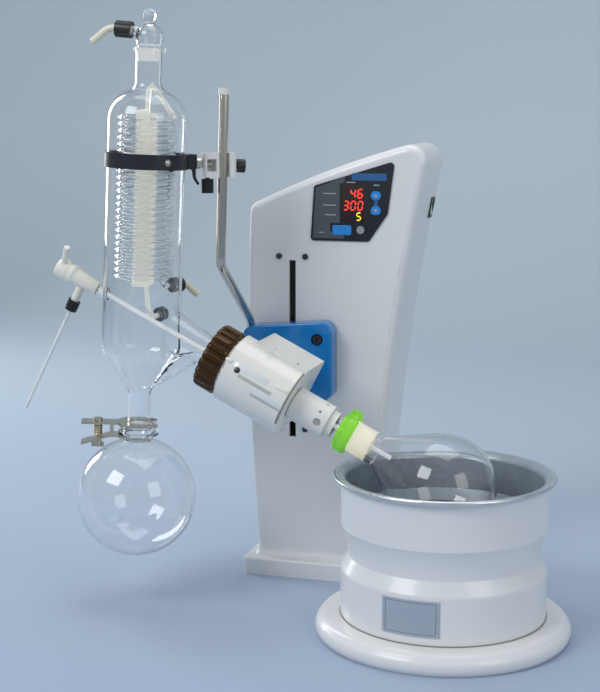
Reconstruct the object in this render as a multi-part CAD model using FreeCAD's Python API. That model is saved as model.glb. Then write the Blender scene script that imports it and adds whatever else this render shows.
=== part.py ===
import FreeCAD, Part
import math
import os

# Rotary evaporator with a vertical coil condenser, a motorised lift tower and a heating bath.
# Millimetres. +X runs from the receiving flask to the bath, +Y to the back, +Z up.
# The origin is on the bench, below the lift slot, in the plane of the tower's front face.

V = FreeCAD.Vector

# ---- driving dimensions: tower -------------------------------------------------------------
TOWER_DEPTH = 94.0
TOWER_WALL = 4.0
TOWER_FOOT_Z = 36.0          # where the tower shell stands on its plinth
TOWER_EDGE_R = 9.0           # rounding of the front edges
TOP_LEFT_R, TOP_RIGHT_R = 14.0, 20.0
SLOT_W = 8.0
SLOT_LOW_Z = 165.5
SLOT_HIGH_Z = 372.0
FOOT_X0, FOOT_X1 = -44.0, 99.0
BASE_X0, BASE_X1 = -57.0, 112.0
BASE_Y0, BASE_Y1 = -17.0, 110.0
BASE_FLANGE_H = 20.0
BLEND_R = 10.0               # hollow curve between the base's flange and its plinth
SCREW_X = 15.5               # slot cover screws, left and right of the slot
SCREW_Z = (175.0, 376.5)

# ---- driving dimensions: lift --------------------------------------------------------------
CARRIAGE_Z = 259.0           # height of the drive pivot at rest
LIFT_Y = 52.0                # plane of the screw and the guide rods
GUIDE_X = 26.0
GUIDE_R = 5.0
LIFT_SCREW_R = 5.0
RUN_FIT = 0.05               # radial clearance of every running fit
SHELF_Z = (150.0, 196.0, 378.0)
SHELF_T = 12.0

# ---- driving dimensions: drive unit and glass train ------------------------------------------
AXIS_Y = -143.0              # plane that holds the drive axis, the flasks and the condenser
DRIVE_TILT = 27.0            # slope of the drive axis, down towards the bath
HOUSING_R = 38.0
BLOCK_DEPTH = 60.0           # from the drive axis to the housing's back face
SHAFT_R = 16.0
BELT_CENTRES = 43.0
BIG_PULLEY_R = 24.0
SMALL_PULLEY_R = 8.0
BELT_T = 1.6
FLASK_S = 229.0              # evaporating flask's centre, along the drive axis
FLASK_R = 57.0
GLASS_T = 2.0

CONDENSER_FOOT = V(-133.5, AXIS_Y, 207.0)
CONDENSER_LEAN = 2.8         # the condenser leans towards the tower
BODY_R = 42.5
RECEIVER_R = 65.5

# ---- driving dimensions: bath ----------------------------------------------------------------
BATH_X, BATH_Y = 206.5, -143.0
BATH_RIM_Z = 171.0
DRUM_R = 107.5
WAIST_R = 99.5
RIM_R = 115.7
RING_R = 133.8
RING_H = 22.0
POT_R = 104.0
POT_FLOOR_Z = 50.0

os.makedirs("parts", exist_ok=True)


# ---- helpers ---------------------------------------------------------------------------------
def tube(r_out, r_in, z0, z1, x=0.0, y=0.0):
    """Vertical tube; a plain cylinder when r_in is 0."""
    body = Part.makeCylinder(r_out, z1 - z0, V(x, y, z0))
    if r_in > 0:
        body = body.cut(Part.makeCylinder(r_in, z1 - z0, V(x, y, z0)))
    return body


def rod_between(a, b, r):
    """Round bar from point a to point b."""
    d = b.sub(a)
    return Part.makeCylinder(r, d.Length, a, d)


def box(x0, x1, y0, y1, z0, z1):
    return Part.makeBox(x1 - x0, y1 - y0, z1 - z0, V(x0, y0, z0))


def rounded_box(x0, x1, y0, y1, z0, z1, r):
    """Box with its vertical edges rounded."""
    body = box(x0, x1, y0, y1, z0, z1)
    upright = [e for e in body.Edges if abs(e.tangentAt(e.FirstParameter).z) > 0.99]
    return body.makeFillet(r, upright)


def turned(points):
    """Solid of revolution about Z from a closed outline of (radius, height) points.

    A point given as ("arc", (r, z), (r, z)) is an arc through the first to the second.
    """
    edges = []
    start = last = V(points[0][0], 0, points[0][1])
    for p in points[1:] + [points[0]]:
        if p[0] == "arc":
            mid = V(p[1][0], 0, p[1][1])
            end = V(p[2][0], 0, p[2][1])
            edges.append(Part.Arc(last, mid, end).toShape())
        else:
            end = V(p[0], 0, p[1])
            if end.sub(last).Length > 1e-6:
                edges.append(Part.makeLine(last, end))
        last = end
    face = Part.Face(Part.Wire(edges))
    solid = face.revolve(V(0, 0, 0), V(0, 0, 1), 360)
    return solid if solid.Volume > 0 else solid.reversed()


def moved(shape, x, y, z):
    shape = shape.copy()
    shape.translate(V(x, y, z))
    return shape


def turned_about_z(shape, degrees):
    shape = shape.copy()
    shape.rotate(V(0, 0, 0), V(0, 0, 1), degrees)
    return shape


def on_drive(shape):
    """From the drive frame to the object: Z along the axis to the bath, -X up, Y back."""
    turn = FreeCAD.Rotation(V(0, 1, 0), 90 + DRIVE_TILT)
    place = FreeCAD.Placement(V(0, AXIS_Y, CARRIAGE_Z), turn)
    return shape.transformed(place.toMatrix())


def on_condenser(shape):
    """From the condenser frame to the object: Z along its leaning axis, from its drip end."""
    turn = FreeCAD.Rotation(V(0, 1, 0), CONDENSER_LEAN)
    place = FreeCAD.Placement(CONDENSER_FOOT, turn)
    return shape.transformed(place.toMatrix())


def save(name, shape):
    shape.exportStep("parts/" + name + ".step")
    print(name, len(shape.Solids), round(shape.Volume / 1000.0, 2), shape.isValid())


def group(shapes):
    return Part.makeCompound(shapes)


# ---- tower -----------------------------------------------------------------------------------
def tower_prism(inset=0.0, depth=TOWER_DEPTH):
    """Tower body with its front at Y 0, wide at the top and slim at the foot.

    The inset moves the sides and the top inwards and leaves the foot open.
    """
    foot_l = V(FOOT_X0 + inset, 0, TOWER_FOOT_Z)
    side_l = V(-55.0 + inset, 0, 290.0)
    top_l = V(-52.0 + inset, 0, 434.0 - inset * 0.65)
    crown = V(60.0, 0, 481.5 - inset)
    top_r = V(161.0 - inset * 1.35, 0, 511.5 - inset * 1.35)
    side_r = V(127.5 - inset, 0, 331.0)
    foot_r = V(FOOT_X1 - inset, 0, TOWER_FOOT_Z)
    outline = Part.Wire([
        Part.Arc(foot_l, side_l, top_l).toShape(),
        Part.Arc(top_l, crown, top_r).toShape(),
        Part.Arc(top_r, side_r, foot_r).toShape(),
        Part.makeLine(foot_r, foot_l),
    ])
    prism = Part.Face(outline).extrude(V(0, depth, 0))
    for corner, r in ((top_l, TOP_LEFT_R), (top_r, TOP_RIGHT_R)):
        edges = [e for e in prism.Edges if e.distToShape(Part.Vertex(corner))[0] < 1e-6
                 and abs(e.BoundBox.YLength - depth) < 1e-6
                 and e.BoundBox.DiagonalLength < depth + 1e-3]
        prism = prism.makeFillet(r - inset, edges)
    return prism


SIDE_ARC = Part.Arc(V(161.0, 0, 511.5), V(127.5, 0, 331.0), V(FOOT_X1, 0, TOWER_FOOT_Z)).toShape().Curve


def side_x(z):
    """X of the tower's right side at height z."""
    rise = z - SIDE_ARC.Center.z
    reach = math.sqrt(SIDE_ARC.Radius ** 2 - rise ** 2)
    return SIDE_ARC.Center.x - reach


def make_tower():
    outer = tower_prism()
    front = [e for e in outer.Edges if abs(e.BoundBox.YMax) < 1e-6 and e.BoundBox.ZMax > TOWER_FOOT_Z + 1]
    outer = outer.makeFillet(TOWER_EDGE_R, front)
    hollow = tower_prism(TOWER_WALL)
    hollow.translate(V(0, TOWER_WALL, 0))
    shell = outer.cut(hollow)
    slot = box(-SLOT_W / 2, SLOT_W / 2, -1, 20, SLOT_LOW_Z, SLOT_HIGH_Z)
    return shell.cut(slot)


def power_place(shape):
    """Sits a switch part, modelled with its face to +X, on the leaning right side."""
    turn = FreeCAD.Rotation(V(0, 1, 0), SIDE_LEAN)
    place = FreeCAD.Placement(V(side_x(POWER_Z), POWER_Y, POWER_Z), turn)
    return shape.transformed(place.toMatrix())


POWER_Y = 82.0
POWER_Z = 430.0
SIDE_LEAN = math.degrees(math.atan((side_x(POWER_Z + 1.0) - side_x(POWER_Z - 1.0)) / 2.0))

PANEL = [(22.0, 395.5), (90.0, 395.5), (111.5, 427.0), (119.0, 486.0), (26.0, 457.5)]
PANEL_T = 1.6
KEYS = {
    "button_up": ((98.0, 447.5), 11.5, 9.5, 4.2),
    "button_down": ((98.0, 430.5), 11.5, 9.5, 4.2),
    "button_set": ((59.0, 408.0), 22.0, 11.0, 2.0),
    "button_mode": ((80.5, 408.5), 9.0, 9.0, 4.4),
}
KEY_GAP = 0.35
WINDOW = (58.0, 85.0, 417.0, 459.0)


def key_solid(name, grow, y0, y1):
    """A panel key, standing from y0 to y1, larger by grow all round."""
    (cx, cz), w, h, r = KEYS[name]
    half_w = w / 2 + grow
    half_h = h / 2 + grow
    body = box(cx - half_w, cx + half_w, y0, y1, cz - half_h, cz + half_h)
    edges = [e for e in body.Edges if abs(e.tangentAt(e.FirstParameter).y) > 0.99]
    return body.makeFillet(r + grow, edges)


def make_panel():
    corners = [V(x, -PANEL_T, z) for x, z in PANEL]
    plate = Part.Face(Part.makePolygon(corners + corners[:1])).extrude(V(0, PANEL_T, 0))
    edges = [e for e in plate.Edges if abs(e.tangentAt(e.FirstParameter).y) > 0.99]
    plate = plate.makeFillet(4.0, edges)
    for name in KEYS:
        plate = plate.cut(key_solid(name, KEY_GAP, -5, 5))
    x0, x1, z0, z1 = WINDOW
    return plate.cut(box(x0, x1, -5, -0.6, z0, z1))


tower = make_tower()
for key in KEYS:
    tower = tower.cut(key_solid(key, KEY_GAP, -1, TOWER_WALL + 1))
tower = tower.cut(power_place(box(-12, 6, -7.5, 7.5, -10.5, 10.5)))
screw_holes = [Part.makeCylinder(2.0, TOWER_WALL + 2, V(x, -1, z), V(0, 1, 0))
               for x in (-SCREW_X, SCREW_X) for z in SCREW_Z]
for hole in screw_holes:
    tower = tower.cut(hole)
save("tower_shell", tower)

# Domed heads with a short shank through the shell, and a hex socket in each head.
screws = []
for x in (-SCREW_X, SCREW_X):
    for z in SCREW_Z:
        head = Part.makeCylinder(3.4, 1.8, V(x, -1.8, z), V(0, 1, 0))
        head = head.fuse(Part.makeCylinder(2.0, 8.0, V(x, 0, z), V(0, 1, 0)))
        socket = Part.makeCylinder(1.3, 1.2, V(x, -1.8, z), V(0, 1, 0))
        screws.append(head.cut(socket).removeSplitter())
save("slot_screws", group(screws))

# Back cover: a plate let into the open back, with the mains inlet's opening and six vents.
INLET_X, INLET_Z = 60.0, 90.0
COVER_T = 4.0
VENTS = 6
VENT_W, VENT_H, VENT_PITCH, VENT_Z = 50.0, 5.0, 12.0, 240.0


def inlet_box(half_w, half_h, y0, y1, dx=0.0, dz=0.0):
    """Box centred on the mains inlet; y0 and y1 count from the tower's back."""
    x, z = INLET_X + dx, INLET_Z + dz
    return box(x - half_w, x + half_w, TOWER_DEPTH + y0, TOWER_DEPTH + y1, z - half_h, z + half_h)


cover = tower_prism(TOWER_WALL, COVER_T)
cover.translate(V(0, TOWER_DEPTH - COVER_T, 0))
cover = cover.cut(inlet_box(13.6, 10.0, -COVER_T - 1, 1))
for vent in range(VENTS):
    z = VENT_Z + VENT_PITCH * vent
    cover = cover.cut(box(40.0, 40.0 + VENT_W, TOWER_DEPTH - COVER_T - 1, TOWER_DEPTH + 1, z, z + VENT_H))
save("tower_back_cover", cover)

# Mains inlet: a body through the cover, a flange outside it, a recess and three blades.
inlet = inlet_box(13.6, 10.0, -24, 0).fuse(inlet_box(20.0, 13.0, 0, 2))
inlet = inlet.cut(inlet_box(11.0, 7.0, -15, 3))
for dx, dz in ((-7, -2), (0, 2), (7, -2)):
    inlet = inlet.fuse(inlet_box(1.0, 2.5, -15.5, -3, dx, dz))
save("power_inlet", inlet.removeSplitter())

# Base: a flange on the bench and a plinth under the shell, blended with a hollow curve.
FLANGE_CORNER_R = 6.0
FLANGE_EDGE_R = 2.5
PLINTH_CORNER_R = 10.0
PLINTH_Y0 = 0.5
flange = rounded_box(BASE_X0, BASE_X1, BASE_Y0, BASE_Y1, 0, BASE_FLANGE_H, FLANGE_CORNER_R)
flange_rim = [e for e in flange.Edges if e.BoundBox.ZMin > BASE_FLANGE_H - 1e-3]
flange = flange.makeFillet(FLANGE_EDGE_R, flange_rim)


def plinth_ring(grow, z):
    """Rounded rectangle round the plinth at height z, larger by grow all round."""
    slab = rounded_box(FOOT_X0 - grow, FOOT_X1 + grow, PLINTH_Y0 - grow, TOWER_DEPTH + grow,
                       z, z + 1.0, PLINTH_CORNER_R + grow)
    return [f for f in slab.Faces if f.BoundBox.ZMax < z + 1e-6][0].OuterWire


BLEND_STEPS = 6
rings = []
for step in range(BLEND_STEPS + 1):
    angle = math.radians(90.0 * step / BLEND_STEPS)
    grow = BLEND_R * (1 - math.sin(angle))
    rings.append(plinth_ring(grow, BASE_FLANGE_H + BLEND_R * (1 - math.cos(angle))))
skirt = Part.makeLoft(rings, True, True)
plinth = rounded_box(FOOT_X0, FOOT_X1, PLINTH_Y0, TOWER_DEPTH, BASE_FLANGE_H + BLEND_R, TOWER_FOOT_Z,
                     PLINTH_CORNER_R)
base = flange.fuse(skirt).fuse(plinth).removeSplitter()
PAD_T = 2.0
PAD_R = 10.0
PAD_INSET = 18.0
pad_spots = [(x, y) for x in (BASE_X0 + PAD_INSET, BASE_X1 - PAD_INSET)
             for y in (BASE_Y0 + PAD_INSET, BASE_Y1 - PAD_INSET)]
for x, y in pad_spots:
    base = base.cut(Part.makeCylinder(PAD_R, PAD_T, V(x, y, 0)))
save("tower_base", base)

# ---- panel and keys --------------------------------------------------------------------------
save("control_panel", make_panel())
x0, x1, z0, z1 = WINDOW
save("display_window", box(x0, x1, -PANEL_T, -0.6, z0, z1))
for key in KEYS:
    cap = key_solid(key, 0.0, -PANEL_T - 1.2, TOWER_WALL)
    rim = [e for e in cap.Edges if abs(e.BoundBox.YMax + PANEL_T + 1.2) < 1e-6]
    save(key, cap.makeFillet(0.5, rim))

ROCKER_PIVOT = -1.2
ROCKER_HALF_THROW = 6.0
rocker = box(-4, 1.6, -6.0, 6.0, -9.0, 9.0)
rocker = rocker.cut(Part.makeCylinder(40.0, 20, V(40.6, -10, 0), V(0, 1, 0)))
rocker.rotate(V(ROCKER_PIVOT, 0, 0), V(0, 1, 0), -ROCKER_HALF_THROW)
save("power_rocker", power_place(rocker))
bezel = box(-9, 0.2, -7.5, 7.5, -10.5, 10.5).fuse(box(0.15, 1.4, -9.0, 9.0, -12.0, 12.0))
bezel = bezel.cut(box(-7.5, 2, -6.4, 6.4, -9.6, 9.6)).removeSplitter()
save("power_bezel", power_place(bezel))

# ---- lift inside the tower -------------------------------------------------------------------
shelves = []
for z in SHELF_Z:
    shelf = box(-36.0, 36.0, 34.0, TOWER_DEPTH - 4.0, z, z + SHELF_T)
    shelf = shelf.cut(tube(LIFT_SCREW_R + RUN_FIT, 0, z - 1, z + SHELF_T + 1, 0, LIFT_Y))
    for x in (-GUIDE_X, GUIDE_X):
        shelf = shelf.cut(tube(GUIDE_R, 0, z - 1, z + SHELF_T + 1, x, LIFT_Y))
    shelves.append(shelf)
save("lift_shelves", group(shelves))
guide_rods = [tube(GUIDE_R, 0, SHELF_Z[0], SHELF_Z[2] + SHELF_T, x, LIFT_Y) for x in (-GUIDE_X, GUIDE_X)]
save("guide_rods", group(guide_rods))

MOTOR_H = 40.0
MOTOR_JOURNAL = 10.0
motor = rounded_box(-21, 21, LIFT_Y - 18, LIFT_Y + 24, SHELF_Z[0] - MOTOR_H, SHELF_Z[0], 4.0)
journal_foot = SHELF_Z[0] - MOTOR_JOURNAL - 0.2
motor = motor.cut(tube(LIFT_SCREW_R + RUN_FIT, 0, journal_foot, SHELF_Z[0] + 1, 0, LIFT_Y))
save("lift_motor", motor)
lead_screw = tube(LIFT_SCREW_R, 0, SHELF_Z[0] - MOTOR_JOURNAL, SHELF_Z[2] + SHELF_T + 3, 0, LIFT_Y)
save("lead_screw", lead_screw)

# ---- carriage --------------------------------------------------------------------------------
PLATE_Y0, PLATE_Y1 = -25.0, -2.4
NUT_HALF_H = 20.0
WEB_T = 7.2
nut_block = box(-34, 34, LIFT_Y - 16, LIFT_Y + 16, CARRIAGE_Z - NUT_HALF_H, CARRIAGE_Z + NUT_HALF_H)
nut_block = nut_block.fuse(box(-WEB_T / 2, WEB_T / 2, PLATE_Y1, LIFT_Y - 15,
                               CARRIAGE_Z - NUT_HALF_H, CARRIAGE_Z + NUT_HALF_H))
nut_block = nut_block.cut(tube(LIFT_SCREW_R + RUN_FIT, 0, CARRIAGE_Z - 30, CARRIAGE_Z + 30, 0, LIFT_Y))
for x in (-GUIDE_X, GUIDE_X):
    nut_block = nut_block.cut(tube(GUIDE_R + RUN_FIT, 0, CARRIAGE_Z - 30, CARRIAGE_Z + 30, x, LIFT_Y))
save("lift_nut_block", nut_block.removeSplitter())

ROD_R = 5.25
ROD_FOOT = V(-46.0, -13.0, 268.0)
ROD_KINK = V(-46.0, -13.0, 302.0)
ROD_ELBOW = V(-51.0, -103.0, 375.0)
ROD_TOP = V(-45.0, -103.0, 563.0)
ROD_BEND = 18.0

plate_corners = [V(-53, PLATE_Y0, 214), V(54, PLATE_Y0, 214), V(53, PLATE_Y0, 306.5), V(-53, PLATE_Y0, 297)]
plate = Part.Face(Part.makePolygon(plate_corners + plate_corners[:1])).extrude(V(0, PLATE_Y1 - PLATE_Y0, 0))
plate = plate.makeFillet(13.0, [e for e in plate.Edges if abs(e.tangentAt(e.FirstParameter).y) > 0.99])
plate = plate.makeFillet(2.5, [e for e in plate.Edges if abs(e.BoundBox.YMax - PLATE_Y0) < 1e-6])
PLATE_SCREW = V(36.0, PLATE_Y0, 285.0)
plate = plate.cut(Part.makeCylinder(7.0, 6.0, PLATE_SCREW, V(0, 1, 0)))
plate = plate.cut(Part.makeCylinder(ROD_R, 60.0, ROD_FOOT, V(0, 0, 1)))
save("carriage_plate", plate)
knob = Part.makeCylinder(5.5, 5.0, V(PLATE_SCREW.x, PLATE_Y0 + 1, PLATE_SCREW.z), V(0, 1, 0))
knob = knob.cut(Part.makeCylinder(2.2, 2.5, V(PLATE_SCREW.x, PLATE_Y0 + 1, PLATE_SCREW.z), V(0, 1, 0)))
save("plate_screw", knob)


def bent_rod(points, bend, r):
    """Round bar along straight runs joined by arcs of one radius."""
    edges = []
    last = points[0]
    for before, corner, after in zip(points, points[1:], points[2:]):
        a = before.sub(corner).normalize()
        b = after.sub(corner).normalize()
        half = math.acos(max(-1.0, min(1.0, a.dot(b)))) / 2
        reach = bend / math.tan(half)
        p = corner.add(V(a).multiply(reach))
        q = corner.add(V(b).multiply(reach))
        middle = V(a).add(b).normalize()
        centre = corner.add(V(middle).multiply(bend / math.sin(half)))
        top = centre.sub(V(middle).multiply(bend))
        if p.sub(last).Length > 1e-6:
            edges.append(Part.makeLine(last, p))
        edges.append(Part.Arc(p, top, q).toShape())
        last = q
    edges.append(Part.makeLine(last, points[-1]))
    path = Part.Wire(edges)
    start = points[1].sub(points[0])
    section = Part.Wire([Part.makeCircle(r, points[0], start)])
    return path.makePipeShell([section], True, False)


rod_route = [ROD_FOOT, ROD_KINK, ROD_ELBOW, ROD_TOP]
save("support_rod", bent_rod(rod_route, ROD_BEND, ROD_R))
rod_dir = ROD_TOP.sub(ROD_ELBOW).normalize()
CAP_WALL = 1.2
cap_foot = ROD_TOP.sub(V(rod_dir).multiply(4.5))
cap_top = ROD_TOP.add(V(rod_dir).multiply(2.5))
cap = rod_between(cap_foot, cap_top, ROD_R + CAP_WALL).cut(rod_between(cap_foot, ROD_TOP, ROD_R))
save("rod_cap", cap)

# Bracket: from the plate to the back of the drive housing, with a pivot boss in the middle.
BLOCK_Y = AXIS_Y + BLOCK_DEPTH
BRACKET_WALL = 6.0
PIVOT_BOSS_R = 24.0
cover_plate = on_drive(box(-37.0, 33.0, BLOCK_DEPTH, BLOCK_DEPTH + BRACKET_WALL, -10.0, 44.0))
boss_foot = V(8.0, BLOCK_Y + BRACKET_WALL, CARRIAGE_Z - 6.0)
boss = Part.makeCylinder(PIVOT_BOSS_R, PLATE_Y0 - boss_foot.y, boss_foot, V(0, 1, 0))
bracket = cover_plate.fuse(boss).removeSplitter()
save("drive_bracket", bracket)

# ---- drive unit ------------------------------------------------------------------------------
COLLAR_Z0 = -50.0
ARM_END = COLLAR_Z0 - 0.05
NOSE_Z = -28.0
END_Z = 49.0
CAVITY_Z0, CAVITY_Z1 = -12.0, 33.0
SEAT_R = 26.0
CAVITY_R = 29.0
MOTOR_R = 13.0
MOTOR_Z0, MOTOR_Z1 = 12.0, 42.0


def belt_shape(grow, z0, z1):
    """The solid inside a belt round both pulleys, larger by grow all round."""
    big = BIG_PULLEY_R + grow
    small = SMALL_PULLEY_R + grow
    lean = math.asin((big - small) / BELT_CENTRES)
    c, s = math.cos(lean), math.sin(lean)
    p1 = V(big * c, big * s, z0)
    p2 = V(small * c, BELT_CENTRES + small * s, z0)
    p3 = V(-small * c, BELT_CENTRES + small * s, z0)
    p4 = V(-big * c, big * s, z0)
    edges = [
        Part.makeLine(p1, p2),
        Part.Arc(p2, V(0, BELT_CENTRES + small, z0), p3).toShape(),
        Part.makeLine(p3, p4),
        Part.Arc(p4, V(0, -big, z0), p1).toShape(),
    ]
    return Part.Face(Part.Wire(edges)).extrude(V(0, 0, z1 - z0))


housing = tube(HOUSING_R, 0, NOSE_Z, END_Z)
block = box(-HOUSING_R - 2, 34.0, 0, BLOCK_DEPTH, -14.0, END_Z)
block = block.makeFillet(5.0, [e for e in block.Edges if abs(e.tangentAt(e.FirstParameter).z) > 0.99
                               and e.BoundBox.YMin > 1])
top_fill = box(-HOUSING_R - 2, 0, -12.0, 1, -14.0, END_Z)
housing = housing.fuse(block).fuse(top_fill).fuse(tube(31.0, 0, COLLAR_Z0, NOSE_Z)).removeSplitter()
housing = housing.cut(tube(SHAFT_R + 0.6, 0, COLLAR_Z0 - 1, END_Z + 1))
housing = housing.cut(tube(27.0, 0, COLLAR_Z0 - 1, NOSE_Z))
housing = housing.cut(tube(CAVITY_R, 0, CAVITY_Z0, CAVITY_Z1))
housing = housing.cut(tube(SEAT_R, 0, CAVITY_Z0 - 8.0, CAVITY_Z1 + 8.0))
housing = housing.cut(belt_shape(BELT_T + 2.0, -4.0, 12.0))
housing = housing.cut(box(-14.0, 14.0, 30.0, BLOCK_DEPTH - 3.0, -4.0, 12.0))
housing = housing.cut(tube(MOTOR_R, 0, 11.0, MOTOR_Z1, 0, BELT_CENTRES))
save("drive_housing", on_drive(housing))

bearings = [tube(SEAT_R, SHAFT_R + RUN_FIT, CAVITY_Z0 - 8.0, CAVITY_Z0),
            tube(SEAT_R, SHAFT_R + RUN_FIT, CAVITY_Z1, CAVITY_Z1 + 8.0)]
save("shaft_bearings", on_drive(group(bearings)))
seal = turned([(12.4, COLLAR_Z0), (27.0, COLLAR_Z0), (27.0, -42.0), (20.0, -42.0),
               (17.0, -32.0), (12.4, -32.0)])
save("vacuum_seal", on_drive(seal))

shaft = tube(SHAFT_R, 12.4, -26.0, 90.0)
save("hollow_shaft", on_drive(shaft))
PULLEY_Z0, PULLEY_Z1 = -1.0, 9.0
save("shaft_pulley", on_drive(tube(BIG_PULLEY_R, SHAFT_R, PULLEY_Z0, PULLEY_Z1)))
belt = belt_shape(RUN_FIT + BELT_T, PULLEY_Z0 + 1, PULLEY_Z1 - 1)
belt = belt.cut(belt_shape(RUN_FIT, PULLEY_Z0, PULLEY_Z1))
save("drive_belt", on_drive(belt))
rotor = tube(SMALL_PULLEY_R, 0, PULLEY_Z0, PULLEY_Z1, 0, BELT_CENTRES)
rotor = rotor.fuse(tube(2.5, 0, PULLEY_Z1, 24.0, 0, BELT_CENTRES)).removeSplitter()
save("motor_pulley", on_drive(rotor))
drive_motor = tube(MOTOR_R, 2.5 + RUN_FIT, MOTOR_Z0, MOTOR_Z1 - 8, 0, BELT_CENTRES)
drive_motor = drive_motor.fuse(tube(MOTOR_R, 0, MOTOR_Z1 - 8, MOTOR_Z1, 0, BELT_CENTRES)).removeSplitter()
save("drive_motor", on_drive(drive_motor))

# Sleeve on the shaft's end: one large cross hole on the side and two small ones.
SLEEVE_R = 18.2
sleeve = tube(SLEEVE_R, SHAFT_R, 50.0, 90.0).fuse(tube(SLEEVE_R, 12.6, 90.0, 92.0))
sleeve = sleeve.fuse(tube(14.6, 12.6, 90.0, 100.0)).removeSplitter()
for z, r, turn_deg in ((83.0, 4.4, -93.0), (81.0, 1.6, -56.0), (83.5, 1.6, -14.0)):
    drill = Part.makeCylinder(r, 6.0, V(0, -20.0, z), V(0, 1, 0))
    drill.rotate(V(0, 0, 0), V(0, 0, 1), -90.0 - turn_deg)
    sleeve = sleeve.cut(drill)
save("neck_sleeve", on_drive(sleeve))

NUT_Z0, NUT_Z1 = -56.0, -31.5
NUT_WALL = 2.0
NUT_R = 36.5
ring_nut = turned([(22.5, NUT_Z0), (NUT_R - 2, NUT_Z0), (NUT_R, NUT_Z0 + 2), (NUT_R, NUT_Z1 - 1.5),
                   (NUT_R - 1.5, NUT_Z1), (31.0 + RUN_FIT, NUT_Z1), (31.0 + RUN_FIT, NUT_Z0 + NUT_WALL),
                   (22.5, NUT_Z0 + NUT_WALL)])
RIBS = 18
for rib in range(RIBS):
    angle = 2 * math.pi * rib / RIBS
    foot = V((NUT_R + 1.2) * math.cos(angle), (NUT_R + 1.2) * math.sin(angle), NUT_Z0 - 1)
    ring_nut = ring_nut.cut(Part.makeCylinder(3.2, NUT_Z1 - NUT_Z0 + 2, foot))
save("ring_nut", on_drive(ring_nut))

# Vapour duct: a glass tube through the shaft that ends in a ground cone in the flask's neck.
CONE_Z0, CONE_Z1 = 112.0, 144.0
duct = turned([(9.8, -47.0), (12.3, -47.0), (12.3, 104.0), (14.6, CONE_Z0),
               (13.0, CONE_Z1), (10.6, CONE_Z1), (10.6, 110.0), (9.8, 104.0)])
save("vapour_duct", on_drive(duct))


def pear(grow, neck_z0, neck_r):
    """Outline of the pear-shaped flask: a neck, a cone tangent to the bowl, and the bowl."""
    ball = FLASK_R - grow
    neck_z = 152.0
    gap = FLASK_S - neck_z
    span = math.hypot(neck_r, gap)
    flare = math.asin(ball / span) - math.atan2(neck_r, gap)
    run = math.sqrt(span ** 2 - ball ** 2)
    touch = (neck_r + run * math.sin(flare), neck_z + run * math.cos(flare))
    far = math.atan2(touch[0], touch[1] - FLASK_S)
    mid = far / 2
    return [(0, neck_z0), (neck_r, neck_z0), (neck_r, neck_z), touch,
            ("arc", (ball * math.sin(mid), FLASK_S + ball * math.cos(mid)), (0, FLASK_S + ball))]


flask = turned(pear(0.0, CONE_Z0, 17.2)).cut(turned(pear(GLASS_T, CONE_Z1 - 1, 14.0)))
socket = turned([(0, CONE_Z0 - 1), (14.7, CONE_Z0 - 1), (14.65, CONE_Z0), (13.05, CONE_Z1), (0, CONE_Z1)])
flask = flask.cut(socket)
flask = flask.fuse(tube(19.0, 17.0, CONE_Z0, CONE_Z0 + 3)).removeSplitter()
save("evaporating_flask", on_drive(flask))

clip = turned([(13.8, 106.0), (20.0, 106.0), (22.5, 109.0), (22.5, 119.0), (20.0, 122.0), (17.3, 122.0),
               (17.3, 117.0), (19.2, 115.5), (19.2, 111.5), (15.2, 110.8), (13.8, 108.0)])
clip = clip.cut(box(-30, -6.0, -8.0, 8.0, 100, 130))
for side in (-1, 1):
    ear = rounded_box(-24.0, -14.0, side * 10.0 - 2.0, side * 10.0 + 2.0, 108.0, 120.0, 1.5)
    clip = clip.fuse(ear.cut(tube(19.3, 0, 100, 130)))
save("joint_clip", on_drive(clip.removeSplitter()))

# ---- condenser and its fittings ------------------------------------------------------------------
DRIP_R = 12.5
CONE_FOOT_Z, BODY_Z0, BODY_Z1, NECK_Z = 33.0, 74.0, 325.0, 400.0
NECK_R = 14.5
DRIP_END_Z = -5.0
CONE_TOP_FILLET, CONE_FOOT_FILLET = 18.0, 9.0
SHOULDER_R = 32.0
SHOULDER_TURN = math.radians(70.0)   # how far the shoulder bends in before it sweeps up to the neck
SHOULDER_SUM = (BODY_R - NECK_R) / (1 - math.cos(SHOULDER_TURN))
NECK_FILLET = SHOULDER_SUM - SHOULDER_R
NECK_FOOT_Z = BODY_Z1 + SHOULDER_SUM * math.sin(SHOULDER_TURN)


def rounded_corner(before, corner, after, radius):
    """Entries for turned() that round one corner of an outline."""
    b = V(before[0] - corner[0], 0, before[1] - corner[1]).normalize()
    a = V(after[0] - corner[0], 0, after[1] - corner[1]).normalize()
    half = math.acos(a.dot(b)) / 2
    middle = V(a).add(b).normalize()
    spot = V(corner[0], 0, corner[1])
    first = spot.add(V(b).multiply(radius / math.tan(half)))
    last = spot.add(V(a).multiply(radius / math.tan(half)))
    top = spot.add(V(middle).multiply(radius / math.sin(half) - radius))
    return [(first.x, first.z), ("arc", (top.x, top.z), (last.x, last.z))]


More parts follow.
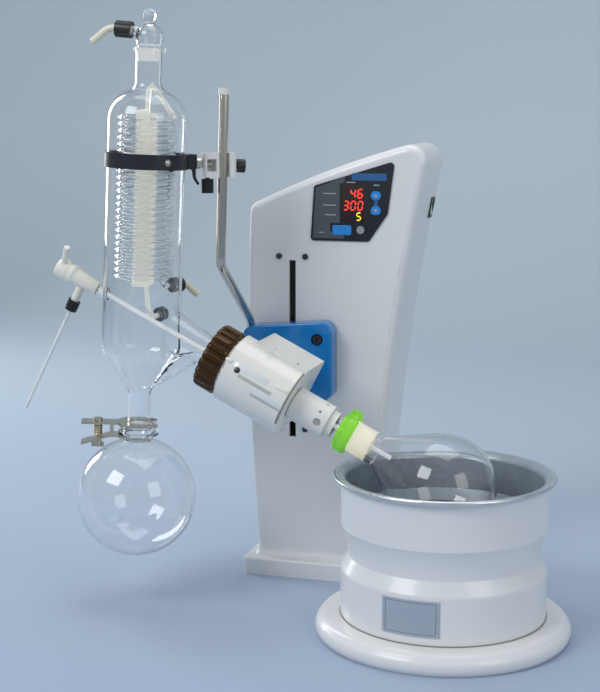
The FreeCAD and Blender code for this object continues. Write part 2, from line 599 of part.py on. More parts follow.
def condenser_form(grow):
    """Body, drain arm and side arm of the condenser; grow is negative for the inside."""
    past = 0.0 if grow == 0 else 1.0             # the inside runs out through both open ends
    drip = (DRIP_R + grow, DRIP_END_Z - past)
    cone_foot = (DRIP_R + grow, CONE_FOOT_Z)
    cone_top = (BODY_R + grow, BODY_Z0 - grow * 0.3)
    body_top = (BODY_R + grow, BODY_Z1)
    bulge, hollow = SHOULDER_R + grow, NECK_FILLET - grow

    def on_bulge(turn):
        return BODY_R - SHOULDER_R + bulge * math.cos(turn), BODY_Z1 + bulge * math.sin(turn)

    def on_hollow(turn):
        return NECK_R + NECK_FILLET - hollow * math.cos(turn), NECK_FOOT_Z - hollow * math.sin(turn)

    outline = [(0, drip[1]), drip]
    outline += rounded_corner(drip, cone_foot, cone_top, CONE_FOOT_FILLET - grow)
    outline += rounded_corner(cone_foot, cone_top, body_top, CONE_TOP_FILLET + grow)
    outline += [body_top, ("arc", on_bulge(SHOULDER_TURN / 2), on_bulge(SHOULDER_TURN)),
                ("arc", on_hollow(SHOULDER_TURN / 2), on_hollow(0.0)),
                (NECK_R + grow, NECK_Z + past), (0, NECK_Z + past)]
    form = on_condenser(turned(outline))
    arm = on_drive(Part.makeCone(24.0 + grow, 18.0 + grow, 60.0, V(0, 0, -120.0)))
    arm = arm.fuse(on_drive(tube(18.0 + grow, 0, -60.5, ARM_END + past)))
    low = on_condenser(Part.makeCircle(DRIP_R + 0.6 + grow, V(0.4, 0, CONE_FOOT_Z + 3.0), V(0, 0, 1)))
    high = on_drive(Part.makeCircle(17.6 + grow, V(0, 0, -64.0), V(0, 0, 1)))
    drain = Part.makeLoft([Part.Wire([low]), Part.Wire([high])], True, True)
    return form.fuse(arm).fuse(drain)


glass = condenser_form(0.0)
flange_lip = on_drive(tube(30.0, 16.0, -53.9, ARM_END))
feed_port = on_drive(tube(7.0, 4.0, -200.0, -165.0))
port_axes = ((64.0, 146.0), (86.0, 111.0))    # azimuth and height
PORT_R = 5.0
PORT_END = 44.5


def port_bar(azimuth, z, r, d0, d1):
    """Round bar standing radially out of the condenser, in the condenser's frame."""
    a = math.radians(azimuth)
    direction = V(math.cos(a), math.sin(a), 0)
    return Part.makeCylinder(r, d1 - d0, V(direction).multiply(d0).add(V(0, 0, z)), direction)


for azimuth, z in port_axes:
    glass = glass.fuse(on_condenser(port_bar(azimuth, z, PORT_R, 38.0, PORT_END)))
glass = glass.fuse(flange_lip).fuse(feed_port)
glass = glass.cut(condenser_form(-GLASS_T))
glass = glass.cut(on_drive(tube(4.0, 0, -201.0, -150.0)))
for azimuth, z in port_axes:
    glass = glass.cut(on_condenser(port_bar(azimuth, z, PORT_R - 1.5, 36.0, PORT_END + 1)))
glass = glass.fuse(on_condenser(tube(17.2, NECK_R, NECK_Z - 4.0, NECK_Z)))
BALL_Z = -9.0
BALL_R = 17.5
ball = Part.makeSphere(BALL_R, V(0, 0, BALL_Z)).cut(Part.makeSphere(BALL_R - GLASS_T, V(0, 0, BALL_Z)))
ball = ball.common(tube(30.0, 10.5, -24.0, -4.0)).fuse(tube(21.0, 12.0, -7.0, -4.0))
glass = glass.fuse(on_condenser(ball)).removeSplitter()
save("condenser_shell", glass)

# Cooling coil: an outline of rings at the coil's pitch stands for its turns.
COIL_PITCH = 7.0
COIL_TUBE_R = 3.2
COIL_R = 28.6
COIL_Z0 = 152.0
COIL_TURNS = 26
rings = [(COIL_R - COIL_TUBE_R, COIL_Z0), (COIL_R, COIL_Z0)]
for turn_no in range(COIL_TURNS):
    z = COIL_Z0 + turn_no * COIL_PITCH
    rings.append(("arc", (COIL_R + COIL_TUBE_R, z + COIL_PITCH / 2), (COIL_R, z + COIL_PITCH)))
rings.append((COIL_R - COIL_TUBE_R, COIL_Z0 + COIL_TURNS * COIL_PITCH))
coil = turned(rings)
save("cooling_coil", on_condenser(coil))

KNOB_R, KNOB_Z = 7.5, 433.5
head = turned([(0, 386.0), (12.0, 386.0), (12.45, NECK_Z), (14.0, 402.0), (14.8, 410.0),
               ("arc", (12.3, 419.6), (5.0, 424.5)), (4.4, 427.0), (4.4, 430.0), (0, 430.0)])
head = head.fuse(Part.makeSphere(KNOB_R, V(0, 0, KNOB_Z)))
hollow_head = turned([(0, 385.0), (10.4, 385.0), (10.6, 400.0), (12.6, 404.0), (12.8, 410.0),
                      ("arc", (10.6, 418.0), (4.0, 422.0)), (0, 422.0)])
arm_dir = V(-1.0, 0, 0.05).normalize()
arm_base = V(-6.3, 0, 417.0)
head = head.fuse(rod_between(arm_base, arm_base.add(V(arm_dir).multiply(14.0)), 5.0))
head = head.cut(hollow_head).cut(rod_between(arm_base, arm_base.add(V(arm_dir).multiply(15.0)), 3.0))
save("vacuum_head", on_condenser(head.removeSplitter()))


FLUTES = 12


def screw_cap(start, direction, r, length, bore):
    """Ribbed screw cap from start along direction, open for the tube at both ends."""
    cap_body = tube(r, bore, 0, length)
    for flute in range(FLUTES):
        a = 2 * math.pi * flute / FLUTES
        foot = V((r + 0.3) * math.cos(a), (r + 0.3) * math.sin(a), -0.1)
        cap_body = cap_body.cut(Part.makeCylinder(0.9, length * 0.75, foot))
    turn = FreeCAD.Rotation(V(0, 0, 1), direction)
    return cap_body.transformed(FreeCAD.Placement(start, turn).toMatrix())


def barb(start, direction, bend_dir, straight, tail, bend):
    """Hose nozzle: a straight foot in the cap and a bent tail."""
    corner = start.add(V(direction).multiply(straight))
    end = corner.add(V(bend_dir).multiply(tail))
    return bent_rod([start, corner, end], bend, NOZZLE_R)


NOZZLE_R = 3.9
VAC_CAP_R, VAC_CAP_L, VAC_BEND = 8.8, 17.0, 14.0
COOLANT_CAP_R, COOLANT_CAP_L, COOLANT_BEND = 8.2, 12.0, 7.0
vac_start = arm_base.add(V(arm_dir).multiply(14.0))
caps = [on_condenser(screw_cap(vac_start, arm_dir, VAC_CAP_R, VAC_CAP_L, NOZZLE_R))]
vac_tail = V(-0.78, 0, -0.63).normalize()
save("vacuum_nozzle", on_condenser(barb(vac_start, arm_dir, vac_tail, 26.0, 24.0, VAC_BEND)))
nozzles = []
coolant_tails = ((V(0.75, 0.15, -0.64).normalize(), 18.0), (V(-0.95, -0.05, -0.30).normalize(), 24.0))
for (azimuth, z), (tail_dir, tail) in zip(port_axes, coolant_tails):
    a = math.radians(azimuth)
    outward = V(math.cos(a), math.sin(a), 0)
    start = V(outward).multiply(PORT_END).add(V(0, 0, z))
    caps.append(on_condenser(screw_cap(start, outward, COOLANT_CAP_R, COOLANT_CAP_L, NOZZLE_R)))
    nozzles.append(on_condenser(barb(start, outward, tail_dir, 20.0, tail, COOLANT_BEND)))
save("coolant_nozzles", group(nozzles))

# Feed valve: a tapered plastic body on the drive axis, with a nipple and a thin dip tube.
valve = on_drive(turned([(2.6, -238.0), (11.0, -238.0), (11.0, -232.0), (9.4, -228.0),
                         (7.0, -200.0), (2.6, -200.0)]))
VALVE_S = -219.0
NIPPLE_END = 24.5
FEED_R = 1.8
FEED_NECK_R = 1.3
FEED_CAP_L = 12.0


def below_valve(r, d0, d1):
    """Round bar square to the drive axis under the feed valve, from depth d0 to d1."""
    return on_drive(Part.makeCylinder(r, d1 - d0, V(d0, 0, VALVE_S), V(1, 0, 0)))


nipple = below_valve(4.5, 7.0, NIPPLE_END)
nipple_hole = below_valve(FEED_R, 2.0, NIPPLE_END)
save("feed_valve_body", valve.fuse(nipple).cut(nipple_hole).removeSplitter())
drive_down = on_drive(Part.makeLine(V(0, 0, 0), V(1, 0, 0))).tangentAt(0)
cap_start = on_drive(Part.Vertex(V(NIPPLE_END, 0, VALVE_S))).Point
caps.append(screw_cap(cap_start, V(drive_down), 6.8, FEED_CAP_L, FEED_NECK_R + 0.1))
save("screw_caps", group(caps))
# The feed tube is necked down a little where the cap grips it.
feed_tube = below_valve(FEED_NECK_R, NIPPLE_END, NIPPLE_END + FEED_CAP_L)
feed_tube = feed_tube.fuse(below_valve(FEED_R, NIPPLE_END + FEED_CAP_L, 164.5))
save("feed_tube", feed_tube)
save("inner_feed_tube", on_drive(tube(2.5, 1.4, -199.0, 168.0)))
KEY_TURN = 30.0              # the feed key's lever leans to the front
key_body = turned([(0, -252.0), (9.5, -252.0), (11.0, -250.0), (11.0, -238.2), (2.5, -238.2),
                   (2.5, -232.0), (0, -232.0)])
key_lever = Part.makeCylinder(3.2, 24.0, V(-9.0, 0, -246.0), V(-1, 0, 0))
save("feed_key", on_drive(turned_about_z(key_body.fuse(key_lever).removeSplitter(), KEY_TURN)))

# ---- condenser support: strap, stud, boss head and its knobs ----------------------------------------
STRAP_Z = 283.0
STRAP_H = 16.0
EAR_REACH = 11.0
BOSS_Z = 484.0
rod_at = ROD_ELBOW.add(V(rod_dir).multiply((BOSS_Z - ROD_ELBOW.z) / rod_dir.z))
axis_at = on_condenser(Part.Vertex(V(0, 0, STRAP_Z))).Point
reach = V(rod_at.x - axis_at.x, rod_at.y - axis_at.y, rod_at.z - axis_at.z)
reach_len = reach.Length
out = V(reach).normalize()
strap_azimuth = math.degrees(math.atan2(out.y, out.x))
strap = tube(BODY_R + 2.2, BODY_R + 0.02, STRAP_Z - STRAP_H / 2, STRAP_Z + STRAP_H / 2)
ears = box(BODY_R + 1.0, BODY_R + EAR_REACH, -5.0, 5.0, STRAP_Z - STRAP_H / 2, STRAP_Z + STRAP_H / 2)
ears.rotate(V(0, 0, 0), V(0, 0, 1), strap_azimuth)
save("condenser_strap", on_condenser(strap.fuse(ears.cut(tube(BODY_R + 1.5, 0, 0, 400))).removeSplitter()))
BOSS_HALF = 13.0
BOSS_REACH = 22.5            # from the rod to the boss head's condenser end
STUD_R = 3.6
stud_start = axis_at.add(V(out).multiply(BODY_R + EAR_REACH + 0.5))
stud_end = axis_at.add(V(out).multiply(reach_len - 13.0))
stud = rod_between(stud_start, stud_end, STUD_R)
hex_nut = Part.makeCylinder(6.2, 4.0, stud_start, out)
save("strap_stud", stud.fuse(hex_nut).removeSplitter())

# Boss head: a block with a channel for the rod and a window on the stud, both open to the front.
boss_head = rounded_box(-BOSS_REACH, BOSS_HALF, -BOSS_HALF, BOSS_HALF, -BOSS_HALF, BOSS_HALF, 4.0)
boss_head = boss_head.cut(box(-19.0, -9.0, -BOSS_HALF - 1, 0, -6.5, 6.5))
channel_w = ROD_R + 0.6
boss_head = boss_head.cut(box(-channel_w, channel_w, -BOSS_HALF - 1, 0, -BOSS_HALF - 1, BOSS_HALF + 1))
boss_head.rotate(V(0, 0, 0), V(0, 0, 1), strap_azimuth)
boss_head = moved(boss_head, rod_at.x, rod_at.y, rod_at.z)
boss_head = boss_head.cut(rod_between(ROD_ELBOW, ROD_TOP, ROD_R + 0.02))
boss_head = boss_head.cut(rod_between(stud_start, stud_end, STUD_R + 0.02))


KNOB_SCREW_R = 2.4


def thumb_knob(start, direction, r, length, lobes):
    """Knob on a short screw: start is where the screw enters the boss head."""
    body = tube(KNOB_SCREW_R, 0, -4.0, 2.0).fuse(tube(r, 0, 2.0, 2.0 + length))
    for lobe in range(lobes):
        a = 2 * math.pi * lobe / lobes
        foot = V((r + 0.7) * math.cos(a), (r + 0.7) * math.sin(a), 1.0)
        body = body.cut(Part.makeCylinder(r * 0.24, length + 2, foot))
    turn = FreeCAD.Rotation(V(0, 0, 1), direction)
    return body.removeSplitter().transformed(FreeCAD.Placement(start, turn).toMatrix())


down = V(0, 0, -1)
side_start = rod_at.add(V(out).multiply(BOSS_HALF))
under_start = rod_at.add(V(out.x, out.y, 0).normalize().multiply(-17.0)).add(V(down).multiply(BOSS_HALF))
for start, direction in ((side_start, out), (under_start, down)):
    inner_end = start.sub(V(direction).multiply(4.2))
    boss_head = boss_head.cut(rod_between(inner_end, start.add(direction), KNOB_SCREW_R + RUN_FIT))
save("boss_head", boss_head)
save("boss_side_knob", thumb_knob(side_start, out, 7.2, 9.0, 8))
save("boss_under_knob", thumb_knob(under_start, down, 6.6, 15.0, 6))

# ---- receiving flask and its joint clamp ---------------------------------------------------------------
RECEIVER_Z = -86.0
CUP_R = BALL_R + 0.15
bowl = Part.makeSphere(RECEIVER_R, V(0, 0, RECEIVER_Z))
cup = Part.makeSphere(CUP_R + GLASS_T, V(0, 0, BALL_Z)).common(tube(30.0, 0, -31.0, -12.5))
neck = tube(13.0, 0, -32.0, -21.0)
receiver = bowl.fuse(neck).fuse(cup).fuse(tube(22.0, 0, -15.5, -12.5))
receiver = receiver.cut(Part.makeSphere(RECEIVER_R - GLASS_T, V(0, 0, RECEIVER_Z)))
receiver = receiver.cut(tube(11.0, 0, -34.0, -18.0)).cut(Part.makeSphere(CUP_R, V(0, 0, BALL_Z)))
save("receiving_flask", on_condenser(receiver.removeSplitter()))

# Clamp: a fork over the joint with a level arm, a fork under it with an arm that slopes away, and
# a hinge block between them. A screw with a spring draws the two arms together.
FORK_T = 2.4
FORK_R = 24.0
ARM_HALF_W = 9.0
ARM_TIP_X = -62.0
HINGE_X0, HINGE_X1 = -31.0, -27.0
UPPER_Z, LOWER_Z = -4.0, -15.5        # faces of the forks that grip the joint
ARM_DROP = 9.3
CLAMP_TURN = 22.0                     # the clamp's arms point left and a little to the front
SCREW_AT = -44.0
SCREW_R = 2.5


def fork(z, r_in):
    """Fork that grips round the joint, open on the side away from its arm."""
    ring_part = tube(FORK_R, r_in, z, z + FORK_T)
    return ring_part.cut(box(0, FORK_R + 1, -r_in, r_in, z - 1, z + FORK_T + 1))


upper_arm = box(ARM_TIP_X, -21.5, -ARM_HALF_W, ARM_HALF_W, UPPER_Z, UPPER_Z + FORK_T)
arm_top = [(-21.5, LOWER_Z), (HINGE_X0, LOWER_Z), (ARM_TIP_X, LOWER_Z - ARM_DROP)]
arm_side = arm_top + [(x, z - FORK_T) for x, z in reversed(arm_top)]
arm_corners = [V(x, -ARM_HALF_W, z) for x, z in arm_side]
lower_arm = Part.Face(Part.makePolygon(arm_corners + arm_corners[:1])).extrude(V(0, 2 * ARM_HALF_W, 0))
hinge = box(HINGE_X0, HINGE_X1, -ARM_HALF_W, ARM_HALF_W, LOWER_Z - 0.5, UPPER_Z + 0.5)
clamp = fork(UPPER_Z, 13.0).fuse(fork(LOWER_Z - FORK_T, 20.2)).fuse(upper_arm).fuse(lower_arm).fuse(hinge)
clamp = clamp.removeSplitter().cut(tube(SCREW_R + RUN_FIT, 0, -40, 10, SCREW_AT, 0))
SPRING_R, SPRING_WIRE, SPRING_PITCH, SPRING_TURNS = 4.0, 1.1, 2.6, 5
SPRING_BORE_R = 3.1
spring_top = UPPER_Z - 0.2
spring_foot = spring_top - SPRING_PITCH * SPRING_TURNS
spring_rings = [(SPRING_R, spring_top), (SPRING_BORE_R, spring_top), (SPRING_BORE_R, spring_foot),
                (SPRING_R, spring_foot)]
for turn_no in range(SPRING_TURNS):
    z = spring_foot + turn_no * SPRING_PITCH
    bulge = (SPRING_R + SPRING_WIRE, z + SPRING_PITCH / 2)
    spring_rings.append(("arc", bulge, (SPRING_R, z + SPRING_PITCH)))
spring = moved(turned(spring_rings), SCREW_AT, 0, 0)
save("joint_clamp", on_condenser(turned_about_z(group([clamp, spring]), CLAMP_TURN)))
screw_head = tube(5.0, 0, UPPER_Z + FORK_T + 0.1, 1.5, SCREW_AT, 0)
clamp_screw = tube(SCREW_R, 0, -30.0, 0.0, SCREW_AT, 0).fuse(screw_head)
wing_nut = box(SCREW_AT - 7, SCREW_AT + 7, -1.6, 1.6, -30.5, -25.5)
wing_nut = wing_nut.fuse(tube(4.5, 0, -30.0, -23.5, SCREW_AT, 0))
clamp_screw = clamp_screw.fuse(wing_nut).removeSplitter()
save("clamp_screw", on_condenser(turned_about_z(clamp_screw, CLAMP_TURN)))


# ---- heating bath ------------------------------------------------------------------------------------
def at_bath(shape):
    return moved(shape, BATH_X, BATH_Y, 0)


ring = turned([(78.0, 0), (129.5, 0), ("arc", (RING_R, 9.5), (130.0, 17.5)),
               ("arc", (127.0, 20.5), (121.0, RING_H)), (78.0, RING_H)])
bath_pads = [(112.0 * math.cos(math.radians(a)), 112.0 * math.sin(math.radians(a))) for a in (90, 210, 330)]
for x, y in bath_pads:
    ring = ring.cut(Part.makeCylinder(PAD_R, PAD_T, V(x, y, 0)))
save("bath_base_ring", at_bath(ring))
pads = [Part.makeCylinder(PAD_R, PAD_T, V(x, y, 0)) for x, y in pad_spots]
pads += [Part.makeCylinder(PAD_R, PAD_T, V(x + BATH_X, y + BATH_Y, 0)) for x, y in bath_pads]
save("foot_pads", group(pads))

WALL = 2.5
SHELL_TOP_Z = 166.4
shell = turned([(DRUM_R, RING_H), (DRUM_R, 70.0), (DRUM_R - 0.5, 72.5), (WAIST_R, 86.0), (WAIST_R, 88.0),
                ("arc", (WAIST_R + 2.1, 103.0), (DRUM_R, 118.0)), (DRUM_R, SHELL_TOP_Z),
                (DRUM_R - WALL, SHELL_TOP_Z), (DRUM_R - WALL, 119.0),
                ("arc", (WAIST_R + 2.1 - WALL, 103.5), (WAIST_R - WALL, 88.2)),
                (WAIST_R - WALL, 85.5), (DRUM_R - WALL - 0.4, 71.8), (DRUM_R - WALL, RING_H)])
save("bath_shell", at_bath(shell))

POT_T = 1.6
BOWL_R = 95.0
SHELF_LOW_Z, SHELF_HIGH_Z = 116.0, 128.0      # where the pot widens from the bowl to its upper wall
FLOOR_CORNER = 15.0
pot = turned([(0, POT_FLOOR_Z), (80.0, POT_FLOOR_Z),
              ("arc", (90.6, POT_FLOOR_Z + 4.4), (BOWL_R, POT_FLOOR_Z + FLOOR_CORNER)),
              (BOWL_R, SHELF_LOW_Z), (POT_R, SHELF_HIGH_Z), (POT_R, SHELL_TOP_Z + 0.1),
              (112.5, SHELL_TOP_Z + 0.1),
              ("arc", (RIM_R, BATH_RIM_Z - 2.3), (112.5, BATH_RIM_Z)), (108.5, BATH_RIM_Z - 0.9),
              ("arc", (104.3, BATH_RIM_Z - 2.9), (POT_R - POT_T, BATH_RIM_Z - 7.0)),
              (POT_R - POT_T, SHELF_HIGH_Z + 0.6), (BOWL_R - POT_T, SHELF_LOW_Z + 0.6),
              (BOWL_R - POT_T, POT_FLOOR_Z + FLOOR_CORNER + 0.4),
              ("arc", (89.2, POT_FLOOR_Z + 5.8), (79.8, POT_FLOOR_Z + POT_T)), (0, POT_FLOOR_Z + POT_T)])
save("bath_pot", at_bath(pot))
save("bath_heater", at_bath(tube(74.0, 30.0, POT_FLOOR_Z - 10.0, POT_FLOOR_Z)))

PLATE_W, PLATE_H, PLATE_Z = 60.0, 37.0, 49.5
nameplate = tube(DRUM_R + 0.8, DRUM_R, PLATE_Z - PLATE_H / 2, PLATE_Z + PLATE_H / 2)
nameplate = nameplate.common(box(-PLATE_W / 2, PLATE_W / 2, -DRUM_R - 2, -50.0, 0, 100.0))
nameplate.rotate(V(0, 0, 0), V(0, 0, 1), -7.0)
save("bath_nameplate", at_bath(nameplate))
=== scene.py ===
import math

import bmesh
import bpy
from mathutils import Matrix, Vector


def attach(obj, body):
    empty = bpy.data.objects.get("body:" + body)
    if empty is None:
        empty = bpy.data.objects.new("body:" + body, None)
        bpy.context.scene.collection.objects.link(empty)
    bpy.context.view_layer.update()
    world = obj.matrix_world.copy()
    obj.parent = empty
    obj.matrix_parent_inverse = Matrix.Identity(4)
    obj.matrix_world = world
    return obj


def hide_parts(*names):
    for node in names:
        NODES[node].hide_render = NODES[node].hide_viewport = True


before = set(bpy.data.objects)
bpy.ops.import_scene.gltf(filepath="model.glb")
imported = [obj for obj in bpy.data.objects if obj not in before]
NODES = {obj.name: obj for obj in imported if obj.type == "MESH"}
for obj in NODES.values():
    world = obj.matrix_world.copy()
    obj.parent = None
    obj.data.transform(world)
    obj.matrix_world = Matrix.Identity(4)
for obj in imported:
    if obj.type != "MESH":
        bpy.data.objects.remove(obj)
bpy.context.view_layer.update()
MM = 0.001

# ---- the object's own frames, as the CAD has them -----------------------------------------------
AXIS_Y = -143.0
DRIVE_TILT = 27.0
CONDENSER_LEAN = 2.8
BATH_X = 206.5
HOUSING_R = 38.0


def at(x, y, z):
    return Matrix.Translation(Vector((x, y, z)) * MM)


DRIVE = at(0, AXIS_Y, 259.0) @ Matrix.Rotation(math.radians(90.0 + DRIVE_TILT), 4, "Y")
CONDENSER = at(-133.5, AXIS_Y, 207.0) @ Matrix.Rotation(math.radians(CONDENSER_LEAN), 4, "Y")
BATH = at(BATH_X, AXIS_Y, 0)
# A panel drawn with X across and Y up, standing on the tower's front: Z comes out to the viewer.
FRONT = Matrix.Rotation(math.radians(90.0), 4, "X")
# The same on the tower's back: X runs to the left of someone who looks at the back.
BACK = at(0, 94.0, 0) @ Matrix.Rotation(math.radians(180.0), 4, "Z") @ FRONT


# ---- materials ---------------------------------------------------------------------------------
def new_material(name):
    mat = bpy.data.materials.new(name)
    mat.use_nodes = True
    tree = mat.node_tree
    return mat, tree, tree.nodes["Principled BSDF"]


def noise(tree, scale, detail=4.0, stretch=None):
    """Noise in the object's own coordinates, in features per metre; stretch lengthens it along an axis."""
    coords = tree.nodes.new("ShaderNodeTexCoord")
    out = coords.outputs["Object"]
    if stretch:
        mapping = tree.nodes.new("ShaderNodeMapping")
        mapping.inputs["Scale"].default_value = stretch
        tree.links.new(out, mapping.inputs["Vector"])
        out = mapping.outputs["Vector"]
    tex = tree.nodes.new("ShaderNodeTexNoise")
    tex.inputs["Scale"].default_value = scale
    tex.inputs["Detail"].default_value = detail
    tree.links.new(out, tex.inputs["Vector"])
    return tex.outputs["Fac"]


def ramp(tree, fac, stops):
    node = tree.nodes.new("ShaderNodeValToRGB")
    elements = node.color_ramp.elements
    while len(elements) < len(stops):
        elements.new(0.5)
    for element, (at_value, colour) in zip(elements, stops):
        element.position = at_value
        element.color = (*colour, 1.0)
    tree.links.new(fac, node.inputs["Fac"])
    return node.outputs["Color"]


def spread(tree, fac, low, high):
    """Noise turned into an even drift between two values."""
    node = tree.nodes.new("ShaderNodeMapRange")
    node.inputs["From Min"].default_value = 0.3
    node.inputs["From Max"].default_value = 0.7
    node.inputs["To Min"].default_value = low
    node.inputs["To Max"].default_value = high
    tree.links.new(fac, node.inputs["Value"])
    return node.outputs["Result"]


def bump(tree, bsdf, fac, strength, height):
    node = tree.nodes.new("ShaderNodeBump")
    node.inputs["Strength"].default_value = strength
    node.inputs["Distance"].default_value = height
    tree.links.new(fac, node.inputs["Height"])
    tree.links.new(node.outputs["Normal"], bsdf.inputs["Normal"])


def shaded(colour, share):
    """The colour made darker or lighter by a factor."""
    return tuple(min(1.0, c * share) for c in colour)


def moulded(name, colour, rough=0.3, coat=0.0, vary=0.05, grain=1500.0, depth=0.15, soft=0.0, stretch=None,
            metal=0.0, shine=(1.0, 1.0, 1.0)):
    """Plastic, paint, rubber or metal: its colour drifts a little, and its gloss and surface are uneven."""
    mat, tree, bsdf = new_material(name)
    bsdf.inputs["Specular Tint"].default_value = (*shine, 1.0)
    bsdf.inputs["Coat Tint"].default_value = (*shine, 1.0)
    bsdf.inputs["Metallic"].default_value = metal
    bsdf.inputs["Coat Weight"].default_value = coat
    bsdf.inputs["Coat Roughness"].default_value = 0.06
    if soft > 0.0:
        bsdf.inputs["Subsurface Weight"].default_value = soft
        bsdf.inputs["Subsurface Radius"].default_value = (0.004, 0.004, 0.003)
        bsdf.inputs["Subsurface Scale"].default_value = 1.0
    drift = noise(tree, 18.0, 5.0)
    tint = ramp(tree, drift, [(0.3, shaded(colour, 1.0 - vary)), (0.7, shaded(colour, 1.0 + vary * 0.5))])
    tree.links.new(tint, bsdf.inputs["Base Color"])
    gloss = spread(tree, noise(tree, 60.0, 6.0, stretch), rough * 0.92, rough * 1.1)
    tree.links.new(gloss, bsdf.inputs["Roughness"])
    bump(tree, bsdf, noise(tree, grain, 3.0, stretch), depth, 0.00005)
    return mat


def clear(name, tint=(1.0, 1.0, 1.0), rough=0.0, ior=1.47, frost=0.0, ripple=0.04, glow=0.0):
    """Glass with the faint ripples of drawn and blown tubing.

    frost is the ground look of a joint; glow is painted light, an emission that makes the glass shine though
    it is no lamp.
    """
    mat, tree, bsdf = new_material(name)
    bsdf.inputs["Base Color"].default_value = (*tint, 1.0)
    bsdf.inputs["Transmission Weight"].default_value = 1.0 - frost
    bsdf.inputs["Roughness"].default_value = rough
    bsdf.inputs["IOR"].default_value = ior
    bsdf.inputs["Emission Color"].default_value = (*tint, 1.0)
    bsdf.inputs["Emission Strength"].default_value = glow
    bump(tree, bsdf, noise(tree, 35.0, 2.0, (1.0, 1.0, 0.35)), ripple, 0.0004)
    return mat


def lamp(name, colour, strength):
    """A lit segment of the display, its brightness drifting a little across it."""
    mat, tree, bsdf = new_material(name)
    glow = ramp(tree, noise(tree, 900.0, 2.0), [(0.3, shaded(colour, 0.8)), (0.7, colour)])
    tree.links.new(glow, bsdf.inputs["Emission Color"])
    bsdf.inputs["Base Color"].default_value = (*shaded(colour, 0.3), 1.0)
    bsdf.inputs["Emission Strength"].default_value = strength
    bsdf.inputs["Roughness"].default_value = 0.4
    return mat


WHITE = moulded("white_gloss", (0.84, 0.845, 0.85), 0.3, coat=0.3, vary=0.012, grain=700.0, depth=0.02)
IVORY = moulded("ivory_gloss", (0.86, 0.85, 0.79), 0.24, coat=0.5, vary=0.012, grain=700.0, depth=0.02)
SATIN_WHITE = moulded("satin_white", (0.84, 0.83, 0.79), 0.38, vary=0.03, depth=0.06)
# strip_white is a real strip colour elsewhere and, on the lower housing strip, a painted reflection.
STRIP_WHITE = moulded("strip_white", (0.78, 0.83, 0.86), 0.16, coat=0.8, vary=0.02, depth=0.02)
# Painted shadow: the grey lines along the housing's white strips.
PAINTED_SHADOW_GREY = moulded("painted_shadow_line_grey", (0.50, 0.53, 0.52), 0.34, coat=0.2, vary=0.06, depth=0.04)
# Painted shade: dark grey laid in the shadowed gaps at the housing's end and under the bath's shell.
SHADE_GREY = moulded("painted_gap_shade", (0.24, 0.26, 0.23), 0.5, vary=0.08, depth=0.08)
PTFE = moulded("ptfe", (0.90, 0.88, 0.78), 0.42, vary=0.03, depth=0.06, soft=0.35)
TUBING = moulded("fluoropolymer_tube", (0.80, 0.83, 0.84), 0.3, vary=0.05, depth=0.05, soft=0.5)
NYLON = moulded("ivory_nylon", (0.82, 0.80, 0.64), 0.40, vary=0.05, depth=0.08, soft=0.25)
BLACK = moulded("black_plastic", (0.016, 0.015, 0.014), 0.36, vary=0.2, depth=0.2)
NUT_BLACK = moulded("nut_phenolic", (0.030, 0.012, 0.004), 0.15, coat=0.3, vary=0.25, depth=0.08,
                    shine=(1.0, 0.66, 0.30))
BAND = moulded("black_band", (0.012, 0.012, 0.018), 0.36, coat=0.2, vary=0.2, grain=2500.0, depth=0.25)
BLUE = moulded("blue_plastic", (0.002, 0.20, 0.56), 0.24, coat=0.5, vary=0.05, depth=0.05)
KEY_BLUE = moulded("key_blue", (0.02, 0.27, 0.76), 0.28, coat=0.4, vary=0.05, depth=0.04)
KEY_GREY = moulded("key_grey", (0.33, 0.36, 0.40), 0.32, coat=0.2, vary=0.05, depth=0.05)
GREEN_LENS = moulded("green_lens", (0.01, 0.42, 0.14), 0.16, coat=0.8, vary=0.1, depth=0.03)
FILM_BLACK = moulded("film_black", (0.012, 0.014, 0.018), 0.16, coat=0.6, vary=0.15, depth=0.02)
FILM_GREY = moulded("film_grey", (0.085, 0.10, 0.115), 0.3, coat=0.3, vary=0.08, depth=0.04)
FILM_BLUE = moulded("film_blue", (0.03, 0.13, 0.33), 0.3, coat=0.3, vary=0.08, depth=0.04)
PRINT_WHITE = moulded("print_white", (0.42, 0.45, 0.47), 0.4, vary=0.08, depth=0.05)
WINDOW = moulded("display_window", (0.02, 0.002, 0.002), 0.08, coat=1.0, vary=0.2, depth=0.01)
STEEL = moulded("polished_steel", (0.64, 0.60, 0.53), 0.17, vary=0.06, metal=1.0, depth=0.06, grain=900.0,
                stretch=(1.0, 1.0, 0.05))
PLATED = moulded("plated_steel", (0.62, 0.54, 0.40), 0.2, vary=0.14, metal=1.0, depth=0.10, grain=600.0)
# dark_steel is the screws' own colour and, as the lid hole's disc, painted shade.
DARK_STEEL = moulded("dark_steel", (0.10, 0.095, 0.09), 0.34, vary=0.2, metal=1.0, depth=0.15)
ALUMINIUM = moulded("satin_aluminium", (0.68, 0.69, 0.71), 0.34, vary=0.05, metal=1.0, grain=1200.0,
                    depth=0.10, stretch=(0.05, 1.0, 1.0))
MOTOR = moulded("motor_paint", (0.05, 0.05, 0.06), 0.5, vary=0.15, depth=0.3)
RUBBER = moulded("foot_rubber", (0.02, 0.02, 0.02), 0.75, vary=0.2, depth=0.4)
LABEL = moulded("label_foil", (0.60, 0.62, 0.66), 0.3, vary=0.04, metal=0.85, grain=1500.0, depth=0.04)
# etched_line is print on the nameplate and label and, in the cover screws' slots, painted shade.
ETCH = moulded("etched_line", (0.16, 0.17, 0.19), 0.5, vary=0.1, depth=0.05)
GLASS = clear("borosilicate")
COIL_GLASS = clear("coil_glass", (0.975, 0.985, 0.98), frost=0.05)
